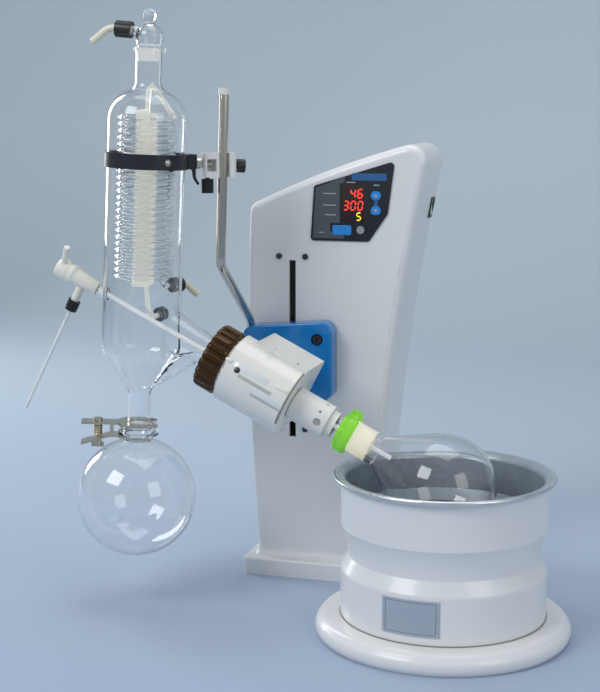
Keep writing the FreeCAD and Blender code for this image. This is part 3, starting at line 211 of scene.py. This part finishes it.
# Painted light: the glow of these five glass materials makes them shine, though none of them is a lamp.
INNER_COIL = clear("inner_coil_glass", (0.96, 0.96, 0.90), rough=0.12, frost=0.4, glow=0.13)
FROST = clear("ground_joint", (0.95, 0.96, 0.96), rough=0.42, frost=0.4, ripple=0.2, glow=0.16)
INNER_TUBE = clear("inner_tube", (0.94, 0.96, 0.97), rough=0.2, frost=0.5, glow=0.14)
IVORY_JOINT = clear("ivory_ground_joint", (0.94, 0.92, 0.80), rough=0.4, frost=0.7, ripple=0.2, glow=0.24)
CLIP = clear("green_clip", (0.42, 0.95, 0.10), rough=0.14, ior=1.45, frost=0.35, ripple=0.2, glow=0.05)
RED_DIGIT = lamp("red_digit", (1.0, 0.05, 0.03), 1.6)
YELLOW_DIGIT = lamp("yellow_digit", (1.0, 0.78, 0.03), 1.5)


RIM_INSIDE, RIM_OUTSIDE = 110.5, 112.5


def pot_material():
    """The pot's grey-blue coating; the bead round the outside of its rim is bright."""
    mat, tree, bsdf = new_material("pot_coating")
    coords = tree.nodes.new("ShaderNodeTexCoord")
    centred = tree.nodes.new("ShaderNodeMapping")
    centred.inputs["Location"].default_value = (-BATH_X * MM, -AXIS_Y * MM, 0.0)
    centred.inputs["Scale"].default_value = (1.0, 1.0, 0.0)
    tree.links.new(coords.outputs["Object"], centred.inputs["Vector"])
    reach = tree.nodes.new("ShaderNodeVectorMath")
    reach.operation = "LENGTH"
    tree.links.new(centred.outputs["Vector"], reach.inputs[0])
    rim = tree.nodes.new("ShaderNodeMapRange")
    rim.inputs["From Min"].default_value = RIM_INSIDE * MM
    rim.inputs["From Max"].default_value = RIM_OUTSIDE * MM
    tree.links.new(reach.outputs["Value"], rim.inputs["Value"])
    coating = ramp(tree, noise(tree, 25.0, 6.0), [(0.3, (0.34, 0.40, 0.46)), (0.7, (0.42, 0.48, 0.54))])
    bright = ramp(tree, noise(tree, 80.0, 4.0), [(0.3, (0.66, 0.68, 0.70)), (0.7, (0.78, 0.80, 0.82))])
    mix = tree.nodes.new("ShaderNodeMix")
    mix.data_type = "RGBA"
    tree.links.new(rim.outputs["Result"], mix.inputs["Factor"])
    tree.links.new(coating, mix.inputs["A"])
    tree.links.new(bright, mix.inputs["B"])
    tree.links.new(mix.outputs["Result"], bsdf.inputs["Base Color"])
    metal = tree.nodes.new("ShaderNodeMapRange")
    metal.inputs["To Min"].default_value = 0.35
    metal.inputs["To Max"].default_value = 0.95
    tree.links.new(rim.outputs["Result"], metal.inputs["Value"])
    tree.links.new(metal.outputs["Result"], bsdf.inputs["Metallic"])
    tree.links.new(spread(tree, noise(tree, 70.0, 5.0), 0.24, 0.36), bsdf.inputs["Roughness"])
    bump(tree, bsdf, noise(tree, 900.0, 3.0), 0.12, 0.00005)
    return mat


POT = pot_material()


# ---- mesh helpers --------------------------------------------------------------------------------
class Solid:
    """Vertices and faces of one or more closed forms, in millimetres."""

    def __init__(self):
        self.verts = []
        self.faces = []

    def add(self, verts, faces, matrix=None):
        start = len(self.verts)
        for v in verts:
            v = Vector(v)
            self.verts.append(matrix @ v if matrix else v)
        self.faces += [[start + i for i in face] for face in faces]
        return self


def smooth(mesh, angle):
    mesh.shade_smooth()
    mesh.set_sharp_from_angle(angle=math.radians(angle))


def piece(name, solid, place, body, material, crease=32.0, bevel=0.0, nodes=()):
    """A mesh object from a Solid, placed by a matrix in metres, riding on a body."""
    mesh = bpy.data.meshes.new(name)
    mesh.from_pydata([place @ (v * MM) for v in solid.verts], [], solid.faces)
    work = bmesh.new()
    work.from_mesh(mesh)
    bmesh.ops.remove_doubles(work, verts=work.verts, dist=1e-7)
    bmesh.ops.recalc_face_normals(work, faces=work.faces)
    if bevel > 0.0:
        sharp = [e for e in work.edges if e.is_manifold and e.calc_face_angle() > math.radians(50.0)]
        bmesh.ops.bevel(work, geom=sharp, offset=bevel * MM, segments=2, profile=0.5, affect="EDGES",
                        clamp_overlap=True)
    work.to_mesh(mesh)
    work.free()
    smooth(mesh, crease)
    mesh.materials.append(material)
    obj = bpy.data.objects.new(name, mesh)
    bpy.context.scene.collection.objects.link(obj)
    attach(obj, body)
    if nodes:
        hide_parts(*nodes)
    return obj


def arc(cr, cz, r, a0, a1, steps):
    """Points of an arc in the (radius, height) plane; angles in degrees from +r towards +z."""
    return [(cr + r * math.cos(math.radians(a0 + (a1 - a0) * i / steps)),
             cz + r * math.sin(math.radians(a0 + (a1 - a0) * i / steps))) for i in range(steps + 1)]


def lathe(outline, turns=96, matrix=None, solid=None):
    """A closed outline of (radius, height) points turned about Z."""
    solid = solid or Solid()
    verts = []
    index = []
    for r, z in outline:
        if r < 1e-6:
            index.append([len(verts)] * turns)
            verts.append((0.0, 0.0, z))
            continue
        row = []
        for i in range(turns):
            a = 2.0 * math.pi * i / turns
            row.append(len(verts))
            verts.append((r * math.cos(a), r * math.sin(a), z))
        index.append(row)
    faces = []
    count = len(outline)
    for k in range(count):
        low, high = index[k], index[(k + 1) % count]
        for i in range(turns):
            j = (i + 1) % turns
            corners = []
            for c in (low[i], low[j], high[j], high[i]):
                if c not in corners:
                    corners.append(c)
            if len(corners) > 2:
                faces.append(corners)
    return solid.add(verts, faces, matrix)


def prism(outline, z0, z1, matrix=None, solid=None):
    """A flat outline of (x, y) points raised from z0 to z1."""
    solid = solid or Solid()
    n = len(outline)
    verts = [(x, y, z0) for x, y in outline] + [(x, y, z1) for x, y in outline]
    faces = [list(range(n - 1, -1, -1)), list(range(n, 2 * n))]
    faces += [[i, (i + 1) % n, n + (i + 1) % n, n + i] for i in range(n)]
    return solid.add(verts, faces, matrix)


def block(x0, x1, y0, y1, z0, z1, matrix=None, solid=None):
    """A plain box between two corners."""
    return prism([(x0, y0), (x1, y0), (x1, y1), (x0, y1)], z0, z1, matrix, solid)


def round_rect(cx, cy, w, h, r, steps=6):
    """Outline of a rectangle with round corners."""
    points = []
    for x, y, start in ((cx + w / 2 - r, cy + h / 2 - r, 0), (cx - w / 2 + r, cy + h / 2 - r, 90),
                        (cx - w / 2 + r, cy - h / 2 + r, 180), (cx + w / 2 - r, cy - h / 2 + r, 270)):
        points += arc(x, y, r, start, start + 90, steps)
    return points


def sweep(path, radius, sides=14, matrix=None, solid=None):
    """Round section along a path; radius is one number or a list with one per point."""
    solid = solid or Solid()
    path = [Vector(p) for p in path]
    radii = radius if isinstance(radius, (list, tuple)) else [radius] * len(path)
    tangents = []
    for i in range(len(path)):
        a = path[max(0, i - 1)]
        b = path[min(len(path) - 1, i + 1)]
        tangents.append((b - a).normalized())
    side = tangents[0].orthogonal().normalized()
    verts = []
    for i, (p, t) in enumerate(zip(path, tangents)):
        side = (side - t * side.dot(t)).normalized()
        other = t.cross(side)
        for k in range(sides):
            a = 2.0 * math.pi * k / sides
            verts.append(p + (side * math.cos(a) + other * math.sin(a)) * radii[i])
    faces = []
    for i in range(len(path) - 1):
        for k in range(sides):
            j = (k + 1) % sides
            faces.append([i * sides + k, i * sides + j, (i + 1) * sides + j, (i + 1) * sides + k])
    last = (len(path) - 1) * sides
    faces.append(list(range(sides - 1, -1, -1)))
    faces.append([last + k for k in range(sides)])
    return solid.add(verts, faces, matrix)


def helix(radius, z0, z1, pitch, start, steps=40):
    """Points of a coil about Z from z0 up to z1."""
    turns = (z1 - z0) / pitch
    count = max(2, int(abs(turns) * steps))
    points = []
    for i in range(count + 1):
        a = start + 2.0 * math.pi * turns * i / count
        points.append(Vector((radius * math.cos(a), radius * math.sin(a), z0 + (z1 - z0) * i / count)))
    return points


def spline(points, steps=12):
    """A smooth line through the points."""
    points = [Vector(p) for p in points]
    ends = [points[0] * 2 - points[1]] + points + [points[-1] * 2 - points[-2]]
    line = []
    for i in range(1, len(ends) - 2):
        p0, p1, p2, p3 = ends[i - 1:i + 3]
        for s in range(steps):
            t = s / steps
            line.append(0.5 * (2 * p1 + (p2 - p0) * t + (2 * p0 - 5 * p1 + 4 * p2 - p3) * t * t
                               + (3 * p1 - p0 - 3 * p2 + p3) * t ** 3))
    line.append(points[-1])
    return line


def patch(r0, r1, a0, a1, z0, z1, steps=12, solid=None):
    """A curved slab about Z between two radii, two angles in degrees and two heights."""
    solid = solid or Solid()
    verts = []
    for i in range(steps + 1):
        a = math.radians(a0 + (a1 - a0) * i / steps)
        verts += [(r * math.cos(a), r * math.sin(a), z) for r, z in ((r0, z0), (r1, z0), (r1, z1), (r0, z1))]
    faces = [[0, 1, 2, 3], [4 * steps + 3, 4 * steps + 2, 4 * steps + 1, 4 * steps]]
    for i in range(steps):
        for k in range(4):
            m = (k + 1) % 4
            faces.append([4 * i + k, 4 * (i + 1) + k, 4 * (i + 1) + m, 4 * i + m])
    return solid.add(verts, faces)


def dome(r, h, matrix=None, solid=None):
    """A low round head of radius r and height h, flat underneath."""
    outline = [(0.0, 0.0)] + [(r * math.cos(math.radians(a)), h * math.sin(math.radians(a)))
                              for a in (0, 18, 36, 54, 72)] + [(0.0, h)]
    return lathe(outline, 24, matrix, solid)


def towards(start, direction):
    """Matrix that sets local Z along direction from start, in millimetres."""
    turn = Vector((0, 0, 1)).rotation_difference(Vector(direction).normalized()).to_matrix().to_4x4()
    return Matrix.Translation(Vector(start)) @ turn


def level(azimuth):
    """The horizontal direction at an angle in degrees from X towards Y."""
    a = math.radians(azimuth)
    return Vector((math.cos(a), math.sin(a), 0.0))


def border_bars(x0, x1, y0, y1, across, upright):
    """Four bars just inside a rectangle: the low, high, left and right ones, as x0, x1, y0, y1."""
    return [(x0, x1, y0, y0 + upright), (x0, x1, y1 - upright, y1),
            (x0, x0 + across, y0, y1), (x1 - across, x1, y0, y1)]


# ---- the CAD nodes that stay: shading and materials ------------------------------------------------
KEPT = {
    WHITE: ("tower_shell", "tower_back_cover", "tower_base", "bath_shell", "bath_base_ring"),
    IVORY: ("drive_housing",),
    SATIN_WHITE: ("neck_sleeve", "boss_head", "rod_cap"),
    PTFE: ("feed_valve_body", "feed_key", "vacuum_seal"),
    INNER_TUBE: ("inner_feed_tube",),
    TUBING: ("feed_tube",),
    BLACK: ("screw_caps", "boss_side_knob", "boss_under_knob", "power_inlet", "power_bezel"),
    BAND: ("condenser_strap",),
    BLUE: ("carriage_plate",),
    KEY_BLUE: ("button_up", "button_down", "button_set"),
    KEY_GREY: ("button_mode",),
    GREEN_LENS: ("power_rocker",),
    FILM_BLACK: ("control_panel",),
    WINDOW: ("display_window",),
    STEEL: ("support_rod", "strap_stud", "guide_rods", "lead_screw", "shaft_bearings", "hollow_shaft"),
    PLATED: ("joint_clamp", "clamp_screw"),
    DARK_STEEL: ("slot_screws", "plate_screw"),
    ALUMINIUM: ("lift_shelves", "lift_nut_block", "drive_bracket", "bath_nameplate", "shaft_pulley",
                "motor_pulley"),
    MOTOR: ("lift_motor", "drive_motor", "bath_heater"),
    POT: ("bath_pot",),
    RUBBER: ("foot_pads", "drive_belt"),
    GLASS: ("condenser_shell", "vacuum_head", "vapour_duct", "evaporating_flask", "receiving_flask"),
    COIL_GLASS: ("cooling_coil",),
    NYLON: ("vacuum_nozzle", "coolant_nozzles"),
    NUT_BLACK: ("ring_nut",),
    CLIP: ("joint_clip",),
}
for material, names in KEPT.items():
    for node_name in names:
        node = NODES[node_name]
        node.data.materials.clear()
        node.data.materials.append(material)
        smooth(node.data, 30.0)


# ---- cooling coil: an outer and an inner helix joined at the top -----------------------------------
COIL_R, COIL_TUBE, COIL_PITCH = 28.6, 3.1, 7.0
LEAD_TUBE = COIL_TUBE * 0.9
INNER_R = 9.6
COIL_LOW, COIL_HIGH = 156.0, 330.0
# Where the two coolant ports come through the wall: the way they point in degrees, their height, the wall.
UPPER_AZIMUTH, LOWER_AZIMUTH = 64.0, 86.0
UPPER_PORT_Z, LOWER_PORT_Z = 146.0, 111.0
PORT_WALL_R = 37.5


def port(azimuth, r, z):
    return level(azimuth) * r + Vector((0, 0, z))


outer = helix(COIL_R, COIL_LOW, COIL_HIGH, COIL_PITCH, math.radians(UPPER_AZIMUTH))
inner = helix(INNER_R, COIL_LOW - 8.0, COIL_HIGH + 4.0, COIL_PITCH, math.radians(LOWER_AZIMUTH))
above_outer = outer[-1].lerp(Vector((0, 0, outer[-1].z)), 0.25) + Vector((0, 0, 9))
top = spline([inner[-1], inner[-1] * 0.9 + Vector((0, 0, 5)), Vector((3.0, -4.0, COIL_HIGH + 26.0)),
              Vector((12.0, 2.0, COIL_HIGH + 22.0)), above_outer, outer[-1]])
upper_lead = spline([port(UPPER_AZIMUTH, PORT_WALL_R, UPPER_PORT_Z),
                     port(UPPER_AZIMUTH, 33.0, UPPER_PORT_Z + 0.5),
                     port(UPPER_AZIMUTH + 2.0, 30.0, UPPER_PORT_Z + 5.0), outer[0]])
lower_lead = spline([port(LOWER_AZIMUTH, PORT_WALL_R, LOWER_PORT_Z),
                     port(LOWER_AZIMUTH, 28.0, LOWER_PORT_Z + 1.0),
                     port(LOWER_AZIMUTH, 15.0, LOWER_PORT_Z + 13.0), inner[0]])
coil = sweep(outer, COIL_TUBE, 12)
sweep(upper_lead, COIL_TUBE, 12, solid=coil)
piece("coil_tubes", coil, CONDENSER, "carriage", COIL_GLASS, nodes=("cooling_coil",))
inner_coil = sweep(inner, COIL_TUBE, 12)
sweep(top, LEAD_TUBE, 12, solid=inner_coil)
sweep(lower_lead, LEAD_TUBE, 12, solid=inner_coil)
piece("inner_coil", inner_coil, CONDENSER, "carriage", INNER_COIL, nodes=("cooling_coil",))

# ---- ground glass of the two conical joints -----------------------------------------------------------
neck_joint = lathe([(11.0, 386.4), (11.85, 386.4), (12.2, 399.6), (11.0, 399.6)])
piece("neck_joint", neck_joint, CONDENSER, "carriage", FROST)
flask_joint = lathe([(14.85, 112.6), (16.4, 112.6), (14.3, 143.5), (13.25, 143.5)])
piece("flask_joint", flask_joint, DRIVE, "flask_rotor", IVORY_JOINT)

# ---- ribbed nut on the housing's condenser end -----------------------------------------------------
NUT_Z0, NUT_Z1, NUT_R, NUT_BORE, NUT_RIBS = -56.0, -31.5, 36.5, 22.5, 20
NUT_THREAD_R, RIB_DEPTH = 31.2, 3.0
nut_rows = []
for z, inset in ((NUT_Z0, 3.2), (NUT_Z0 + 0.7, 1.6), (NUT_Z0 + 2.2, 0.4), (NUT_Z0 + 4.0, 0.0),
                 (NUT_Z1 - 4.0, 0.0), (NUT_Z1 - 2.2, 0.4), (NUT_Z1 - 0.7, 1.6), (NUT_Z1, 3.2)):
    row = []
    steps = NUT_RIBS * 14
    for i in range(steps):
        wave = math.sin(2.0 * math.pi * i * NUT_RIBS / steps)
        rib = 0.5 + 0.5 * math.tanh(2.6 * wave + 0.9)
        r = NUT_R - inset - RIB_DEPTH * (1.0 - rib)
        a = 2.0 * math.pi * i / steps
        row.append((r * math.cos(a), r * math.sin(a), z))
    nut_rows.append(row)
bore = []
lip_r = NUT_BORE + 0.2
for z, r in ((NUT_Z1, NUT_THREAD_R), (NUT_Z0 + 2.0, NUT_THREAD_R), (NUT_Z0 + 2.0, lip_r), (NUT_Z0, lip_r)):
    bore.append([(r * math.cos(2.0 * math.pi * i / steps), r * math.sin(2.0 * math.pi * i / steps), z)
                 for i in range(steps)])
rows = nut_rows + bore
faces = []
for k in range(len(rows)):
    for i in range(steps):
        j = (i + 1) % steps
        m = (k + 1) % len(rows)
        faces.append([k * steps + i, k * steps + j, m * steps + j, m * steps + i])
nut = Solid().add([v for row in rows for v in row], faces)
piece("ribbed_nut", nut, DRIVE, "ring_nut_body", NUT_BLACK, crease=50.0, nodes=("ring_nut",))


# ---- trim on the drive housing, with a painted reflection and painted shadow lines -----------------
def on_housing(up0, up1, s0, s1, thick=0.35, solid=None):
    """A curved strip on the housing's front; angles run from straight ahead (0) up over the top (90)."""
    return patch(HOUSING_R - 0.1, HOUSING_R + thick, -90.0 - up1, -90.0 - up0, s0, s1, solid=solid)


upper_strip = on_housing(19.0, 28.0, -19.0, 21.0)
piece("housing_strip_upper", upper_strip, DRIVE, "carriage", STRIP_WHITE, bevel=0.12)
# Painted reflection: the lower white strip stands in for a bright reflection on the glossy housing.
lower_reflection = on_housing(-3.0, 3.6, 4.0, 46.5)
piece("housing_painted_reflection", lower_reflection, DRIVE, "carriage", STRIP_WHITE, bevel=0.12)
# Painted shadow: thin grey lines above and below the lower strip stand in for the shade along the strips.
shadow = on_housing(7.5, 13.0, -10.0, 30.0, 0.18)
on_housing(-8.5, -4.6, 10.0, 46.5, 0.18, shadow)
piece("housing_painted_shadow_lines", shadow, DRIVE, "carriage", PAINTED_SHADOW_GREY)
# Painted shade: a dark band at the housing's end stands in for the shadowed gap before the neck sleeve.
end_gap_shade = on_housing(-32.0, 92.0, 45.9, 48.6, 0.2)
piece("housing_end_gap_shade", end_gap_shade, DRIVE, "carriage", SHADE_GREY)
catch = on_housing(23.6, 28.6, 30.5, 44.5, 1.1)
piece("housing_catch", catch, DRIVE, "carriage", IVORY, bevel=0.35)


def on_side(up_angle, s):
    """Matrix that stands local Z out of the housing's curved front at one spot."""
    outward = level(-90.0 - up_angle)
    return towards(outward * HOUSING_R + Vector((0, 0, s)), outward)


piece("housing_stop", dome(3.4, 1.2, on_side(16.8, -13.8)), DRIVE, "carriage", DARK_STEEL)
pin_line = [(0, 0, z) for z in (-30.6, -30.2, -29.0, -24.0, -23.0, -22.6)]
pin_at = Matrix.Translation(Vector((-15.6, -34.6, 0.0)))
pin = sweep(pin_line, [0.6, 1.4, 2.0, 2.0, 1.4, 0.6], 16, matrix=pin_at)
piece("housing_pin", pin, DRIVE, "carriage", PTFE)
LID_FACE, LID_Y = -40.0, -4.0
# Painted shade: a flat dark disc stands in for the shade inside the lid's hole.
hole_at = towards((LID_FACE, LID_Y, 35.0), (-1, 0, 0))
lid_hole = lathe([(0.0, 0.0), (1.7, 0.0), (1.7, 0.15), (0.0, 0.15)], 24, hole_at)
piece("housing_lid_hole_shade", lid_hole, DRIVE, "carriage", DARK_STEEL)
seam_at = towards((LID_FACE, LID_Y, 5.0), (-1, 0, 0))
lid_mark = prism(round_rect(0, 0, 2.2, 30.0, 0.9), 0.0, 0.12, seam_at)
piece("housing_lid_seam", lid_mark, DRIVE, "carriage", STRIP_WHITE)


# ---- condenser strap: clamping screw, washer and lever ----------------------------------------------
STRAP_Z, STRAP_R, STRAP_HALF = 283.0, 44.6, 7.4
screw_out = level(-38.0)
screw_at = towards(screw_out * (STRAP_R - 0.2) + Vector((0, 0, STRAP_Z)), screw_out)
washer = lathe([(0.0, 0.0), (3.6, 0.0), (3.6, 0.7), (0.0, 0.7)], 32, screw_at)
dome(2.7, 1.7, screw_at @ Matrix.Translation(Vector((0, 0, 0.7))), washer)
piece("strap_screw", washer, CONDENSER, "carriage", STEEL)
ear_out = level(29.0)
# How far the lever reaches out and how far it hangs below the middle of the strap.
LEVER = ((49.0, 5.0), (51.5, 10.0), (52.5, 17.0), (57.0, 24.0))
lever_path = spline([ear_out * reach + Vector((0, 0, STRAP_Z - drop)) for reach, drop in LEVER])
lever_end = len(lever_path) - 1
lever = sweep(lever_path, [2.4 - 0.9 * i / lever_end for i in range(lever_end + 1)], 12)
piece("strap_lever", lever, CONDENSER, "carriage", BAND)
band_edges = Solid()
for z in (STRAP_Z - STRAP_HALF, STRAP_Z + STRAP_HALF):
    patch(STRAP_R, STRAP_R + 0.35, 36.0, 382.0, z - 0.5, z + 0.5, 72, solid=band_edges)
piece("strap_edges", band_edges, CONDENSER, "carriage", BAND)


# ---- bath: plate, painted seam shadow and badge border ------------------------------------------------
PLATE_R, PLATE_MID, PLATE_LOW, PLATE_HIGH = 108.3, -97.0, 31.0, 68.0
BORDER_TURN, BORDER_INSET = 14.2, 2.4
border = Solid()
for a0, a1, z0, z1 in border_bars(-BORDER_TURN, BORDER_TURN, PLATE_LOW + BORDER_INSET,
                                  PLATE_HIGH - BORDER_INSET, 0.3, 0.5):
    patch(PLATE_R - 0.05, PLATE_R + 0.08, PLATE_MID + a0, PLATE_MID + a1, z0, z1, solid=border)
piece("plate_border", border, BATH, "stand", ETCH)
rivets = Solid()
for a in (-15.0, 15.0):
    for z in (PLATE_LOW + BORDER_INSET, PLATE_HIGH - BORDER_INSET):
        outward = level(PLATE_MID + a)
        dome(1.3, 0.7, towards(outward * PLATE_R + Vector((0, 0, z)), outward), rivets)
piece("plate_rivets", rivets, BATH, "stand", STEEL)
# Painted shadow: a thin dark ring where the shell meets the base ring.
seam = lathe([(106.8, 22.02), (108.4, 22.02), (108.4, 23.0), (106.8, 23.0)], 128)
piece("bath_seam_shadow", seam, BATH, "stand", SHADE_GREY)


# ---- back of the tower: cover screws, a blank rating label, and its border ----------------------------
screws = Solid()
# Painted shade: a dark bar in each screw head stands in for the shade in its slot.
slots = Solid()
for x, z in ((-60.0, 60.0), (20.0, 60.0), (-95.0, 300.0), (30.0, 300.0), (-130.0, 470.0), (20.0, 440.0)):
    spot = Matrix.Translation(Vector((x, z, 0.0)))
    dome(3.2, 1.5, spot, screws)
    block(-2.2, 2.2, -0.35, 0.35, 1.1, 1.56, spot, slots)
piece("cover_screws", screws, BACK, "stand", STEEL)
piece("cover_screw_slot_shade", slots, BACK, "stand", ETCH)
LABEL_X, LABEL_Y, LABEL_W, LABEL_H = -60.0, 165.0, 56.0, 34.0
label = prism(round_rect(LABEL_X, LABEL_Y, LABEL_W, LABEL_H, 2.0), 0.0, 0.15)
piece("rating_label", label, BACK, "stand", LABEL)
label_lines = border_bars(LABEL_X - LABEL_W / 2 + 2.5, LABEL_X + LABEL_W / 2 - 2.5,
                          LABEL_Y - LABEL_H / 2 + 2.4, LABEL_Y + LABEL_H / 2 - 2.4, 0.4, 0.4)
label_lines += [(LABEL_X - 22.0, LABEL_X + 22.0, LABEL_Y + up, LABEL_Y + up + 0.3) for up in (7.0, 0.0, -7.0)]
frame_lines = Solid()
for x0, x1, y0, y1 in label_lines:
    block(x0, x1, y0, y1, 0.12, 0.2, solid=frame_lines)
piece("rating_label_lines", frame_lines, BACK, "stand", ETCH)


# ---- display digits --------------------------------------------------------------------------------
# How far each layer of the panel stands out from the tower's front.
FILM_Z, DIGIT_Z, DASH_Z, KEY_Z = 1.6, 1.62, 1.7, 2.81
DIGIT_PITCH, DIGIT_SLANT = 8.2, 0.12
SEGMENTS = {"0": "abcdef", "1": "bc", "2": "abged", "3": "abgcd", "4": "fgbc", "5": "afgcd", "6": "afgedc",
            "7": "abc", "8": "abcdefg", "9": "abcdfg"}


def digit(solid, char, x, y, w, h, t):
    """One seven-segment figure with its lower left corner at (x, y)."""
    spots = {"a": (x, y + h, 1), "g": (x, y + h / 2, 1), "d": (x, y, 1),
             "f": (x, y + h / 2, 0), "b": (x + w, y + h / 2, 0), "e": (x, y, 0), "c": (x + w, y, 0)}
    gap = t * 0.25
    for name in SEGMENTS[char]:
        sx, sy, flat = spots[name]
        length = (w if flat else h / 2) - 2 * gap
        k = t / 2
        end = gap + length
        bar = [(gap, 0), (gap + k, k), (end - k, k), (end, 0), (end - k, -k), (gap + k, -k)]
        outline = [(sx + u, sy + v) if flat else (sx - v, sy + u) for u, v in bar]
        prism([(px + DIGIT_SLANT * (py - y), py) for px, py in outline], 0.0, 0.12, solid=solid)


def number(name, text, x, y, w, h, t, material):
    figure = Solid()
    for i, char in enumerate(text):
        digit(figure, char, x + i * DIGIT_PITCH, y, w, h, t)
    piece(name, figure, FRONT @ at(0, 0, DIGIT_Z), "stand", material)


number("digits_upper", "46", 68.5, 444.5, 5.0, 9.6, 1.5, RED_DIGIT)
number("digits_middle", "300", 60.5, 431.0, 5.0, 9.6, 1.5, RED_DIGIT)
number("digits_lower", "5", 75.5, 419.5, 4.4, 8.4, 1.3, YELLOW_DIGIT)


# ---- printed film on the panel -----------------------------------------------------------------------
field = Solid()
prism([(24.8, 398.5), (61.0, 398.5), (61.0, 406.0), (45.0, 406.0), (45.0, 416.0), (56.0, 416.0),
       (56.0, 460.0), (62.0, 462.0), (62.0, 468.5), (28.2, 455.0)], 0.0, 0.08, solid=field)
piece("panel_field", field, FRONT @ at(0, 0, FILM_Z), "stand", FILM_GREY)
title = prism(round_rect(90.0, 468.0, 40.0, 8.0, 1.2), 0.0, 0.08)
piece("panel_title_strip", title, FRONT @ at(0, 0, FILM_Z), "stand", FILM_BLUE)
dashes = Solid()
for x, y, w in ((37.0, 449.0, 15.0), (37.0, 436.0, 15.0), (39.0, 425.0, 13.0), (64.0, 461.8, 10.0),
                (32.0, 405.0, 6.0), (95.0, 459.0, 7.0)):
    prism(round_rect(x + w / 2, y, w, 1.1, 0.4, 3), 0.0, 0.1, solid=dashes)
piece("panel_dashes", dashes, FRONT @ at(0, 0, DASH_Z), "stand", PRINT_WHITE)
link_outline = [(94.6, 434.6), (101.4, 434.6), (99.6, 439.0), (101.4, 443.4), (94.6, 443.4), (96.4, 439.0)]
link = prism(link_outline, 0.0, 0.1)
piece("key_link", link, FRONT @ at(0, 0, FILM_Z), "stand", FILM_BLUE)
for name, body, y, sign in (("arrow_up", "up_key", 447.5, 1), ("arrow_down", "down_key", 430.5, -1)):
    arrow = prism([(95.4, y - 1.6 * sign), (100.6, y - 1.6 * sign), (98.0, y + 2.2 * sign)], 0.0, 0.1)
    piece(name, arrow, FRONT @ at(0, 0, KEY_Z), body, PRINT_WHITE)


# ---- floor, light and camera ---------------------------------------------------------------------------
def paper():
    """Matt studio paper with painted light: darker and bluer low on the floor, paler up the backdrop behind.
    """
    mat, tree, bsdf = new_material("studio_paper")
    split = tree.nodes.new("ShaderNodeSeparateXYZ")
    tree.links.new(tree.nodes.new("ShaderNodeTexCoord").outputs["Object"], split.inputs[0])
    rise = tree.nodes.new("ShaderNodeMath")
    tree.links.new(split.outputs["Y"], rise.inputs[0])
    tree.links.new(split.outputs["Z"], rise.inputs[1])
    height = tree.nodes.new("ShaderNodeMapRange")
    height.inputs["From Min"].default_value = -0.7
    height.inputs["From Max"].default_value = 3.0
    tree.links.new(rise.outputs["Value"], height.inputs["Value"])
    # Painted light: the paper is darker and bluer low on the floor and paler up the backdrop.
    tint = ramp(tree, height.outputs["Result"], [(0.0, (0.36, 0.45, 0.60)), (1.0, (0.66, 0.75, 0.81))])
    tree.links.new(tint, bsdf.inputs["Base Color"])
    bsdf.inputs["Roughness"].default_value = 0.85
    bump(tree, bsdf, noise(tree, 300.0, 3.0), 0.02, 0.0004)
    return mat


def studio():
    """A seamless pale floor that curves up behind the object."""
    profile = [(-6.0, 0.0)] + [(y, 0.0) for y in (-1.0, 0.0, 1.6)]
    profile += [(1.6 + 1.2 * math.sin(math.radians(a)), 1.2 - 1.2 * math.cos(math.radians(a)))
                for a in range(10, 91, 10)]
    profile += [(2.8, 5.0)]
    verts = [(x, y, z) for y, z in profile for x in (-6.0, 6.0)]
    faces = [[2 * i, 2 * i + 1, 2 * i + 3, 2 * i + 2] for i in range(len(profile) - 1)]
    mesh = bpy.data.meshes.new("studio_floor")
    mesh.from_pydata(verts, [], faces)
    mesh.shade_smooth()
    mesh.materials.append(paper())
    obj = bpy.data.objects.new("studio_floor", mesh)
    bpy.context.scene.collection.objects.link(obj)


def softbox(name, place, target, size, power, colour=(1.0, 1.0, 1.0)):
    """A rectangular area light that faces a point."""
    light = bpy.data.lights.new(name, "AREA")
    light.shape = "RECTANGLE"
    light.size, light.size_y = size
    light.energy = power
    light.color = colour
    obj = bpy.data.objects.new(name, light)
    obj.location = place
    obj.rotation_euler = (Vector(target) - Vector(place)).to_track_quat("-Z", "Y").to_euler()
    bpy.context.scene.collection.objects.link(obj)


studio()
CENTRE = (0.02, -0.1, 0.28)
softbox("key_light", (-1.4, -2.1, 2.2), CENTRE, (1.5, 1.3), 34.0)
softbox("fill_light", (1.9, -1.3, 1.1), CENTRE, (1.0, 1.2), 8.0, (1.0, 0.98, 0.95))
softbox("top_light", (0.1, 0.1, 2.2), CENTRE, (1.8, 1.2), 12.0)
softbox("edge_light", (-1.6, 0.9, 1.0), CENTRE, (0.5, 1.6), 11.0)

world = bpy.data.worlds.new("studio_air")
world.use_nodes = True
world.node_tree.nodes["Background"].inputs["Color"].default_value = (0.86, 0.93, 1.0, 1.0)
world.node_tree.nodes["Background"].inputs["Strength"].default_value = 0.40
bpy.context.scene.world = world
bpy.context.scene.view_settings.view_transform = "Standard"

YAW, PITCH = math.radians(16.1), math.radians(9.3)
CAMERA_AT = (0.475, -1.614, 0.548)
camera = bpy.data.cameras.new("camera")
camera.lens = 76.73
camera.sensor_width = 36.0
camera.clip_end = 30.0
viewer = bpy.data.objects.new("camera", camera)
forward = Vector((-math.sin(YAW) * math.cos(PITCH), math.cos(YAW) * math.cos(PITCH), -math.sin(PITCH)))
right = Vector((math.cos(YAW), math.sin(YAW), 0.0))
up = right.cross(forward)
view = Matrix((right, up, -forward)).transposed().to_4x4()
viewer.matrix_world = Matrix.Translation(CAMERA_AT) @ view
bpy.context.scene.collection.objects.link(viewer)
bpy.context.scene.camera = viewer

bpy.context.view_layer.update()
